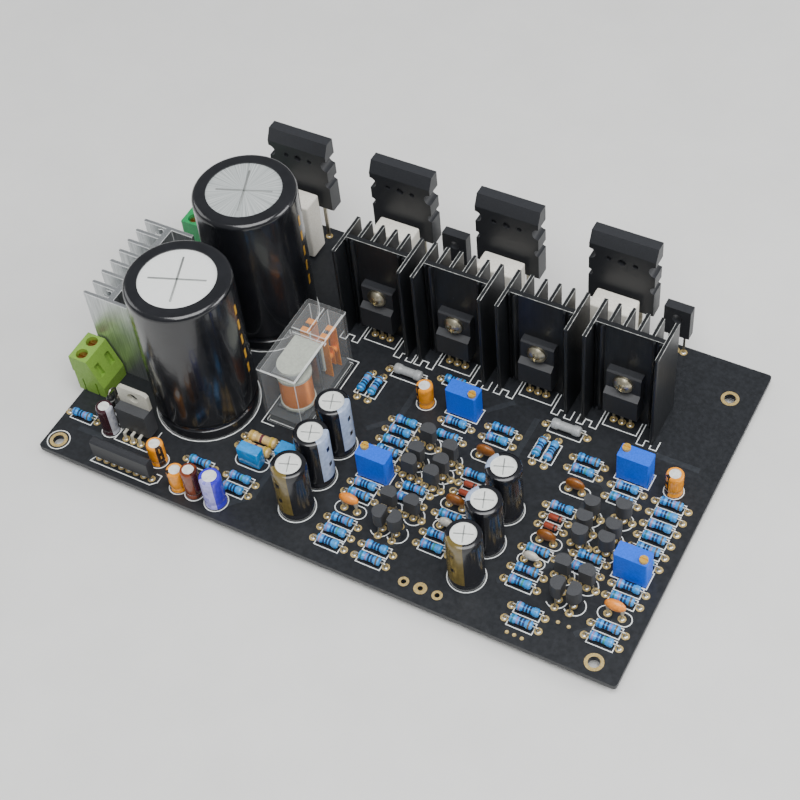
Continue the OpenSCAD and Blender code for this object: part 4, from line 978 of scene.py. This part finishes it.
@dataclass
class Diodes:
    """Red glass diodes on the board and dark ones that stand up."""

    glass: str = "#9c4630"
    glass_band: str = "#23211f"
    dark: str = "#1d1e20"
    dark_band: str = "#c8c8c4"
    # A diode taller than this stands up, in millimetres
    upright_h: float = 3.0
    # Place of the band as a share of half the length, and half its width in millimetres
    band_at: float = 0.62
    band_half: float = 0.25

    def diode(self, half: float, radius: float, base: str, band: str) -> bpy.types.Mesh:
        """Makes a diode about Z, its middle at the origin.

        Args:
            half: Half of its length in millimetres.
            radius: Its radius in millimetres.
            base: Colour of the body.
            band: Colour of the band.

        Returns:
            The diode.
        """
        mark, wide = half * self.band_at, self.band_half
        end = [(0, half), (radius * 0.7, half), (radius, half * 0.8)]
        profile = [(r, -z) for r, z in end] + [(radius, mark - wide), (radius, mark + wide)] + end[::-1]
        return turned(profile, lambda z, r, t: band if abs(z - mark) < wide else base, 18)

    def build(self) -> None:
        """Makes the diodes."""
        piece = Piece("diode_bodies", Finishes.lacquer)
        for solid in solids("diodes"):
            upright = solid.size.z > self.upright_h
            colours = (self.dark, self.dark_band) if upright else (self.glass, self.glass_band)
            stock = self.diode(max(solid.size) / 2, min(solid.size) / 2, *colours)
            piece.place(stock, solid.centre, None if upright else lying(solid))
        piece.done("diode_glass", "diodes")


class SleevePrint(Enum):
    """Print of a small capacitor.

    Colours of sleeve, stripe and dashes, then the stripe's direction and half its width in degrees. On the
    brown one the stripe is painted shade.
    """

    ORANGE = ("#f2991a", "#33241a", "#c08a3a", -26.0, 26.0)
    ORANGE_TURNED = ("#f2991a", "#33241a", "#f2991a", -131.0, 22.0)
    # On the brown one the darker stripe and dashes are painted shade on its right side
    BROWN = ("#7a3a20", "#4a2216", "#4a2216", 0.0, 40.0)
    VIOLET = ("#3a30c8", "#a9a8ea", "#8886d8", -90.0, 38.0)
    MAROON = ("#3a1f26", "#b9bcc6", "#a2a5b0", -4.0, 36.0)


@dataclass
class SmallCapacitors:
    """Small electrolytic capacitors: a printed sleeve, a bright scored top and a polarity stripe, which on
    the brown one is painted shade.
    """

    silver: str = "#e6e8e4"
    # Radius of the bare disc and of the bead at the foot, as shares of the capacitor's radius
    disc_share: float = 0.66
    bead_share: float = 0.2
    # Depth of the disc and length of a dash, in millimetres
    recess: float = 0.25
    dash: float = 1.3
    # Half width of a dash as a share of the stripe's
    dash_share: float = 0.3
    # Kinds by size and place, in millimetres: orange ones are low, the violet one is wide, maroon is far left
    orange_h: float = 9.0
    violet_r: float = 2.8
    maroon_x: float = -60.0

    def capacitor(self, radius: float, height: float, kind: SleevePrint) -> bpy.types.Mesh:
        """Makes one capacitor, standing on the origin.

        Args:
            radius: Radius in millimetres.
            height: Height in millimetres.
            kind: Print of the sleeve.

        Returns:
            The capacitor.
        """
        lip, bead = radius * self.disc_share, radius * self.bead_share
        sleeve, stripe, dash, facing, half = kind.value

        def paint(z: float, r: float, t: float) -> str:
            """Silver on the disc, the stripe with its dashes on one side and the sleeve elsewhere."""
            if z > height - self.recess * 1.2 and r < lip:
                return self.silver
            off = angle_off(t, facing)
            if off > half or r < lip:
                return sleeve
            return dash if off < half * self.dash_share and int(z / self.dash) % 2 else stripe

        profile = [(0, 0), (radius * 0.9, 0), (radius, bead * 0.5), (radius, bead * 2),
                   (radius - bead * 0.5, bead * 3), (radius, bead * 4)]
        straight = height - bead * 5.4
        steps = int(straight / self.dash)
        profile += [(radius, bead * 4 + straight * i / steps) for i in range(1, steps + 1)]
        profile += [(radius * 0.97, height - bead * 0.5), (radius * 0.88, height), (lip, height),
                    (lip, height - self.recess), (0, height - self.recess)]
        return turned(profile, paint, 36)

    def build(self) -> None:
        """Makes the small capacitors."""
        piece, oranges = Piece("small_capacitor_sleeves", Finishes.film), 0
        for solid in solids("small_capacitors"):
            height, radius = solid.size.z, solid.size.x / 2
            if height < self.orange_h:
                kind = SleevePrint.ORANGE_TURNED if oranges else SleevePrint.ORANGE
                oranges += 1
            elif radius > self.violet_r:
                kind = SleevePrint.VIOLET
            else:
                kind = SleevePrint.MAROON if solid.centre.x < self.maroon_x else SleevePrint.BROWN
            piece.place(self.capacitor(radius, height, kind), solid.under)
        piece.done("orange_sleeve", "small_capacitors")


@dataclass
class ChannelCapacitors:
    """Sleeves of the six channel capacitors: black with a pale stripe, the front two dark with gold."""

    black: str = "#16171c"
    pale: str = "#a3b3d0"
    gold: str = "#6c5d2e"
    # Direction of the stripe on the front, left and right capacitors, and half its width, in degrees
    front_facing: float = -107.0
    left_facing: float = -2.0
    right_facing: float = 175.0
    stripe_half: float = 37.0
    # Half width of a mark in the stripe in degrees, height of a row in millimetres, and rows to a mark
    mark_half: float = 8.0
    mark: float = 1.55
    mark_every: int = 4
    # Places that tell the front and the left capacitors, in frame millimetres
    front_y: float = -32.0
    left_x: float = 10.0
    # Bead at the foot: its depth, and the heights of its start, middle and end
    bead: float = 0.45
    bead_heights: tuple[float, float, float] = (1.6, 2.2, 2.8)
    wall: float = 0.25
    shoulder: float = 0.8
    # Radius of the bare disc, its depth, and the score on it
    vent: float = 3.55
    vent_depth: float = 0.22
    score: tuple[float, float] = (0.34, 0.06)
    score_turns: tuple[float, float] = (20.0, 110.0)

    def sleeve(self, radius: float, height: float, stripe: str, facing: float) -> bpy.types.Mesh:
        """Makes a sleeve with its beaded foot, standing on the origin.

        Args:
            radius: Outer radius in millimetres.
            height: Height in millimetres.
            stripe: Colour of the stripe.
            facing: Direction of the stripe in degrees.

        Returns:
            The sleeve.
        """
        start, middle, end = self.bead_heights

        def paint(z: float, r: float, t: float) -> str:
            """The stripe with its dark marks, and black elsewhere."""
            off = angle_off(t, facing)
            if off > self.stripe_half or z < end:
                return self.black
            marked = off < self.mark_half and int(z / self.mark) % self.mark_every == 1 and z < height - 2
            return self.black if marked else stripe

        rows = 10
        straight = height - end - 1.0
        profile = [(radius - self.wall, 0), (radius, 0), (radius, start), (radius - self.bead, middle),
                   (radius, end)]
        profile += [(radius, end + straight * i / rows) for i in range(1, rows + 1)]
        profile += [(radius - self.wall, height - 0.3), (radius - self.shoulder, height),
                    (self.vent, height), (self.vent, height - self.vent_depth)]
        return turned(profile, paint, 48)

    def build(self) -> None:
        """Makes the sleeves and the score lines on the cans."""
        # The score lines are grey strips of painted shade
        piece, scores = Piece("channel_sleeves", Finishes.film), Piece("vent_scores", Finishes.score)
        top = box_mm("channel_capacitor_cans")[1].z
        width, thick = self.score
        bar = moulded(Vector((self.vent * 1.5, width, thick)), 0.02, segments=1)
        for solid in solids("channel_capacitor_sleeves"):
            left = solid.centre.x < self.left_x
            stripe, facing = self.pale, self.left_facing if left else self.right_facing
            if solid.centre.y < self.front_y:
                stripe, facing = self.gold, self.front_facing
            piece.place(self.sleeve(solid.size.x / 2, solid.size.z, stripe, facing), solid.under)
            for turn in self.score_turns:
                scores.place(bar, Vector((solid.centre.x, solid.centre.y, top - thick / 2)), about_z(turn))
        piece.done("channel_sleeve", "channel_capacitor_sleeves")
        scores.done("can")


@dataclass
class LargeCapacitors:
    """Plain gold dashes down the side of the two large capacitors, and the scores on their cans."""

    # Direction and width of the dashes in degrees
    facing: float = 14.0
    sweep: float = 4.0
    # Length, distance and number of the dashes, how far below the top they start, and their two faces
    dash: float = 3.4
    gap: float = 2.6
    count: int = 5
    below: float = 8.0
    sunk: float = 0.1
    proud: float = 0.06
    # Length, width and thickness of a score, and the turns of the two that cross
    score: tuple[float, float, float] = (16.4, 0.55, 0.08)
    score_turns: tuple[float, float] = (20.0, 110.0)

    def build(self) -> None:
        """Makes the dashes below the shoulder of each sleeve and the crosses on the cans."""
        piece = Piece("sleeve_marks", Finishes.gold_ink)
        for node in ("front_capacitor_sleeve", "rear_capacitor_sleeve"):
            low, high = box_mm(node)
            radius, middle = (high.x - low.x) / 2, (low + high) / 2
            for index in range(self.count):
                top = high.z - self.below - index * (self.dash + self.gap)
                stock = hoop((radius - self.sunk, radius + self.proud), (top - self.dash, top),
                             self.facing - self.sweep / 2, self.sweep)
                piece.place(stock, Vector((middle.x, middle.y, 0)))
        piece.done("black_sleeve")
        # The score lines are grey strips of painted shade
        scores = Piece("large_vent_scores", Finishes.score)
        bar = moulded(Vector(self.score), 0.03, segments=1)
        for node in ("front_capacitor_can", "rear_capacitor_can"):
            low, high = box_mm(node)
            middle = (low + high) / 2
            for turn in self.score_turns:
                scores.place(bar, Vector((middle.x, middle.y, high.z - self.score[2] / 2)), about_z(turn))
        scores.done("can")


@dataclass
class MouldedParts:
    """Film and dipped capacitors and cement resistors, with the rounded edges of their mouldings."""

    film_blue: str = "#2496e4"
    brown: str = "#85501c"
    amber: str = "#a8763a"
    orange: str = "#f2922e"
    foot: str = "#b5aea0"
    pale: str = "#c4c1b8"
    # Edge radius of the film capacitors and of the cement resistors, in millimetres
    film_edge: float = 0.35
    cement_edge: float = 0.6
    # Distance of the legs of a dipped capacitor, their radius at the board, and how far they stay inside
    leg_pitch: float = 4.0
    leg_r: float = 0.4
    # Radius of a leg at the disc, as a share of the disc's thickness
    leg_share: float = 0.34
    # A dipped capacitor wider than the first is orange, one narrower than the second is pale
    orange_w: float = 5.6
    pale_w: float = 5.0
    # Part of the height that the disc takes
    orange_disc: float = 0.7
    other_disc: float = 0.85

    def dipped(self, size: Vector, share: float, body: str, foot: str) -> bpy.types.Mesh:
        """Makes a dipped disc on two coated legs, its foot at the origin.

        Args:
            size: Lengths in millimetres.
            share: Part of the height that the disc takes.
            body: Colour of the disc.
            foot: Colour of the coated legs.

        Returns:
            The capacitor.
        """
        disc, leg = size.z * share, size.z * (1 - share * 0.55)
        shape = bmesh.new()
        bmesh.ops.create_uvsphere(shape, u_segments=24, v_segments=14, radius=0.5 * MM)
        bmesh.ops.scale(shape, vec=(size.x, size.y, disc), verts=shape.verts)
        bmesh.ops.translate(shape, vec=(0, 0, (size.z - disc / 2) * MM), verts=shape.verts)
        reach = min(self.leg_pitch / 2, size.x / 2 - self.leg_r)
        for side in (-1, 1):
            at = Matrix.Translation((side * reach * MM, 0, leg / 2 * MM))
            bmesh.ops.create_cone(shape, cap_ends=True, segments=12, radius1=self.leg_r * MM,
                                  radius2=size.y * self.leg_share * MM, depth=leg * MM, matrix=at)
        paint_faces(shape, lambda z, r, t: body if z > size.z - disc * 0.8 else foot)
        return to_stock(shape, MOULDED_SHARP)

    def build(self) -> None:
        """Makes the moulded parts."""
        piece = Piece("film_capacitor_boxes", Finishes.film)
        for solid in solids("film_capacitors"):
            stock = moulded(solid.size, self.film_edge, lambda z, r, t: self.film_blue)
            piece.place(stock, solid.under)
        piece.done("film_blue", "film_capacitors")
        piece = Piece("dipped_capacitor_bodies", Finishes.resin)
        for solid in solids("dipped_capacitors"):
            if solid.size.x > self.orange_w:
                stock = self.dipped(solid.size, self.orange_disc, self.orange, self.foot)
            elif solid.size.x < self.pale_w:
                stock = self.dipped(solid.size, self.other_disc, self.pale, self.foot)
            else:
                stock = self.dipped(solid.size, self.other_disc, self.brown, self.amber)
            piece.place(stock, solid.under)
        piece.done("dip_coat", "dipped_capacitors")
        piece = Piece("cement_resistors", Finishes.cement)
        for solid in solids("emitter_resistors"):
            piece.place(moulded(solid.size, self.cement_edge), solid.under)
        piece.done("cement", "emitter_resistors")


@dataclass
class EdgeHighlights:
    """Thin painted highlights along the top edges of the driver heatsinks, where light catches them."""

    width: float = 0.15
    height: float = 0.02
    # Thickness of a fin, distance between the inner fins, and their number
    fin: float = 1.1
    pitch: float = 4.14
    inner_fins: int = 4
    # Place of the plate's front face behind the foremost edge, and the plate's thickness
    plate: float = 6.6
    plate_t: float = 1.6
    # How far a line stops short of the round end of a fin
    short: float = 0.5

    def build(self) -> None:
        """Lays a line along each edge that shows from above."""
        # Each strip is a painted highlight where light catches an edge
        piece = Strips("painted_edge_highlights", Finishes.heatsink_edge_highlight)
        inset = self.width / 2
        for index in range(1, NUMBERED + 1):
            low, high = box_mm(f"driver_heatsink_{index}")
            front, plate, back = low.y + self.short, low.y + self.plate, high.y - self.short
            middle = (low.x + high.x) / 2
            first = middle - self.pitch * (self.inner_fins - 1) / 2
            outer = (low.x + inset, low.x + self.fin - inset, high.x - self.fin + inset, high.x - inset)
            inner = [first + self.pitch * step + side * (self.fin / 2 - inset)
                     for step in range(self.inner_fins) for side in (-1, 1)]
            lines = [((x, front), (x, back)) for x in outer]
            lines += [((x, plate + self.plate_t), (x, back)) for x in inner]
            lines.append(((low.x + self.fin, plate + inset), (high.x - self.fin, plate + inset)))
            for a, b in lines:
                piece.line(a, b, self.width, self.height, high.z)
        piece.done("black_anodised")


@dataclass
class RelayWinding:
    """The relay's copper winding, as turns of wire that show through the cover."""

    turns: int = 26
    core_r: float = 2.8
    # Depth of the groove between two turns and its place, as shares of their distance
    groove: float = 0.35
    groove_at: float = 0.05

    def build(self) -> None:
        """Makes the winding from a scalloped profile."""
        low, high = box_mm("relay_coil")
        height, radius = high.z - low.z, (high.x - low.x) / 2
        pitch = height / self.turns
        valley = radius - pitch * self.groove
        profile = [(self.core_r, 0.0)]
        for turn in range(self.turns):
            profile += [(valley, (turn + self.groove_at) * pitch), (radius, (turn + 0.5) * pitch)]
        profile += [(valley, height), (self.core_r, height), (self.core_r, 0.0)]
        piece = Piece("relay_winding", Finishes.winding)
        piece.place(turned(profile, steps=36), Vector(((low.x + high.x) / 2, (low.y + high.y) / 2, low.z)))
        piece.done("copper_wire", "relay_coil")


class Dressing:
    """Finishes for the CAD nodes that keep their own shape."""

    finishes: dict[str, Finish | SplitFinish] = {
        "circuit_board": Finishes.board, "stout_pins": Finishes.tin, "soldered_ends": Finishes.solder,
        "component_leads": Finishes.tin, "front_capacitor_can": Finishes.front_disc,
        "rear_capacitor_can": Finishes.rear_disc, "front_capacitor_sleeve": Finishes.sleeve,
        "rear_capacitor_sleeve": Finishes.sleeve, "supply_heatsink": Finishes.mill,
        "bridge_rectifier": Finishes.epoxy, "heatsink_screws": Finishes.nickel,
        "bias_transistors": Finishes.epoxy, "supply_terminal": Finishes.lime,
        "speaker_terminal": Finishes.emerald, "protection_chip": Finishes.epoxy,
        "relay_base": Finishes.relay_base, "relay_cover": Finishes.clear, "relay_frame": Finishes.iron,
        "relay_bobbin": Finishes.milky, "relay_fixed_contacts": Finishes.contact,
        "relay_armature": Finishes.iron, "relay_carrier": Finishes.milky,
        "relay_moving_contacts": Finishes.contact, "trimmer_cases": Finishes.blue_case,
        "channel_capacitor_cans": Finishes.can, "small_transistors": Finishes.epoxy_grey,
        # The tab stands above the moulded body and in front of it
        "regulator": SplitFinish("regulator_tab_and_body", Finishes.epoxy_grey, Finishes.tab,
                                 above_mm=12.8, before_mm=-36.72),
    }
    numbered: dict[str, Finish] = {
        "driver_heatsink": Finishes.anodised, "driver_transistor": Finishes.epoxy,
        "output_transistor": Finishes.epoxy, "terminal_screw": Finishes.copper_plate,
        "terminal_clamp": Finishes.nickel, "trimmer_screw": Finishes.brass,
    }
    # Nodes with broken edges: the finish that shows there, and the width of the break in millimetres. On the
    # supply heatsink that finish is a painted highlight.
    broken: dict[str, tuple[Finish, float]] = {
        "supply_heatsink": (Finishes.mill_edge_highlight, 0.12), "relay_cover": (Finishes.frosted, 0.2)}
    # Faces that meet at less than this angle are made one, in degrees
    flat_angle: float = 1.0
    # Edges past the first angle are broken, and those past the second stay hard, in degrees
    break_angle: float = 40.0
    hard_angle: float = 30.0

    def build(self) -> None:
        """Gives each node its finish."""
        for name, finish in self.finishes.items():
            self.dress(name, finish.material())
        for stem, finish in self.numbered.items():
            for index in range(1, NUMBERED + 1):
                self.dress(f"{stem}_{index}", finish.material())
        for name, (finish, width) in self.broken.items():
            self.show_broken_edges(name, finish, width)

    def show_broken_edges(self, name: str, finish: Finish, width: float) -> None:
        """Breaks a node's sharp edges and shows another finish along them.

        Args:
            name: The node's name.
            finish: Finish of the broken edge.
            width: Width of the break in millimetres.
        """
        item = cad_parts[name]
        item.data.materials.append(finish.material())
        weld = item.modifiers.new("joined_faces", "WELD")
        weld.merge_threshold = SAME_POINT
        flat = item.modifiers.new("whole_faces", "DECIMATE")
        flat.decimate_type, flat.angle_limit = "DISSOLVE", math.radians(self.flat_angle)
        bevel = item.modifiers.new("broken_edges", "BEVEL")
        bevel.use_clamp_overlap = False
        bevel.limit_method, bevel.angle_limit = "ANGLE", math.radians(self.break_angle)
        bevel.width, bevel.segments, bevel.material = width * MM, 1, 1
        split = item.modifiers.new("hard_edges", "EDGE_SPLIT")
        split.split_angle = math.radians(self.hard_angle)
        item.modifiers.new("face_normals", "WEIGHTED_NORMAL")

    def dress(self, name: str, material: bpy.types.Material) -> None:
        """Puts a material on a node.

        Args:
            name: The node's name.
            material: Its material.
        """
        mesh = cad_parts[name].data
        mesh.materials.clear()
        mesh.materials.append(material)


@dataclass
class Studio:
    """Floor, lights and camera."""

    eye_mm: tuple[float, float, float] = (163.22, -239.5, 367.32)
    # Direction of the view in degrees, and the lens in millimetres on its sensor
    azimuth: float = 33.641
    elevation: float = 50.968
    roll: float = -6.952
    lens: float = 73.45
    sensor: float = 36.0
    # Name, place and side in metres, and power in watts of each light
    lamps: tuple[tuple[str, tuple[float, float, float], float, float], ...] = (
        ("overhead_light", (0.25, -0.25, 0.9), 0.8, 15.0),
        ("right_window", (0.8, 0.35, 0.45), 0.5, 6.0),
        ("left_fill", (-0.8, -0.1, 0.5), 0.5, 2.2))
    sky: str = "#e8eaee"
    sky_strength: float = 0.35
    # Half side of the floor and its distance below the lowest pins, in metres
    floor_half: float = 2.5
    floor_gap: float = 0.0001

    def build(self) -> None:
        """Sets up the studio."""
        self.floor()
        for lamp in self.lamps:
            self.lamp(*lamp)
        world = bpy.data.worlds.new("studio_light")
        world.use_nodes = True
        back = world.node_tree.nodes["Background"]
        back.inputs["Color"].default_value = linear(self.sky)
        back.inputs["Strength"].default_value = self.sky_strength
        bpy.context.scene.world = world
        self.camera()

    def floor(self) -> None:
        """Lays the floor under the lowest pins."""
        shape = bmesh.new()
        bmesh.ops.create_grid(shape, x_segments=2, y_segments=2, size=self.floor_half)
        bmesh.ops.translate(shape, verts=shape.verts, vec=(0, 0, CAD_BOX[0].z - self.floor_gap))
        mesh = bpy.data.meshes.new("floor")
        shape.to_mesh(mesh)
        shape.free()
        mesh.materials.append(Finishes.floor.material())
        made = bpy.data.objects.new("floor", mesh)
        bpy.context.scene.collection.objects.link(made)

    def lamp(self, name: str, at: Sequence[float], size: float, power: float) -> None:
        """Adds a soft area light aimed at the board.

        Args:
            name: The light's name.
            at: Its place in metres.
            size: Its side in metres.
            power: Its power in watts.
        """
        light = bpy.data.lights.new(name, "AREA")
        light.size, light.energy = size, power
        made = bpy.data.objects.new(name, light)
        made.location = at
        made.rotation_euler = (-Vector(at)).to_track_quat("-Z", "Y").to_euler()
        bpy.context.scene.collection.objects.link(made)

    def camera(self) -> None:
        """Stands the camera where the photograph was taken."""
        a, e, r = (math.radians(v) for v in (self.azimuth, self.elevation, self.roll))
        back = Vector((math.sin(a) * math.cos(e), -math.cos(a) * math.cos(e), math.sin(e)))
        right = (-back).cross(Vector((0, 0, 1))).normalized()
        up = right.cross(-back)
        x = math.cos(r) * right + math.sin(r) * up
        y = math.cos(r) * up - math.sin(r) * right
        data = bpy.data.cameras.new("camera")
        data.sensor_width, data.lens = self.sensor, self.lens
        made = bpy.data.objects.new("camera", data)
        turn = Matrix((x, y, back)).transposed().to_4x4()
        made.matrix_world = Matrix.Translation(Vector(self.eye_mm) * MM) @ turn
        bpy.context.scene.collection.objects.link(made)
        bpy.context.scene.camera = made


def main() -> None:
    """Builds the pieces in order."""
    logging.basicConfig(level=logging.INFO, format="%(name)s %(message)s")
    for part in (Studio(), Dressing(), BoardTracks(), BoardPrint(), BoardPads(), Resistors(), Diodes(),
                 SmallCapacitors(), ChannelCapacitors(), LargeCapacitors(), MouldedParts(), EdgeHighlights(),
                 RelayWinding()):
        part.build()
        LOG.info("%s done", type(part).__name__)
    bpy.context.view_layer.update()


if __name__ == "__main__":
    main()
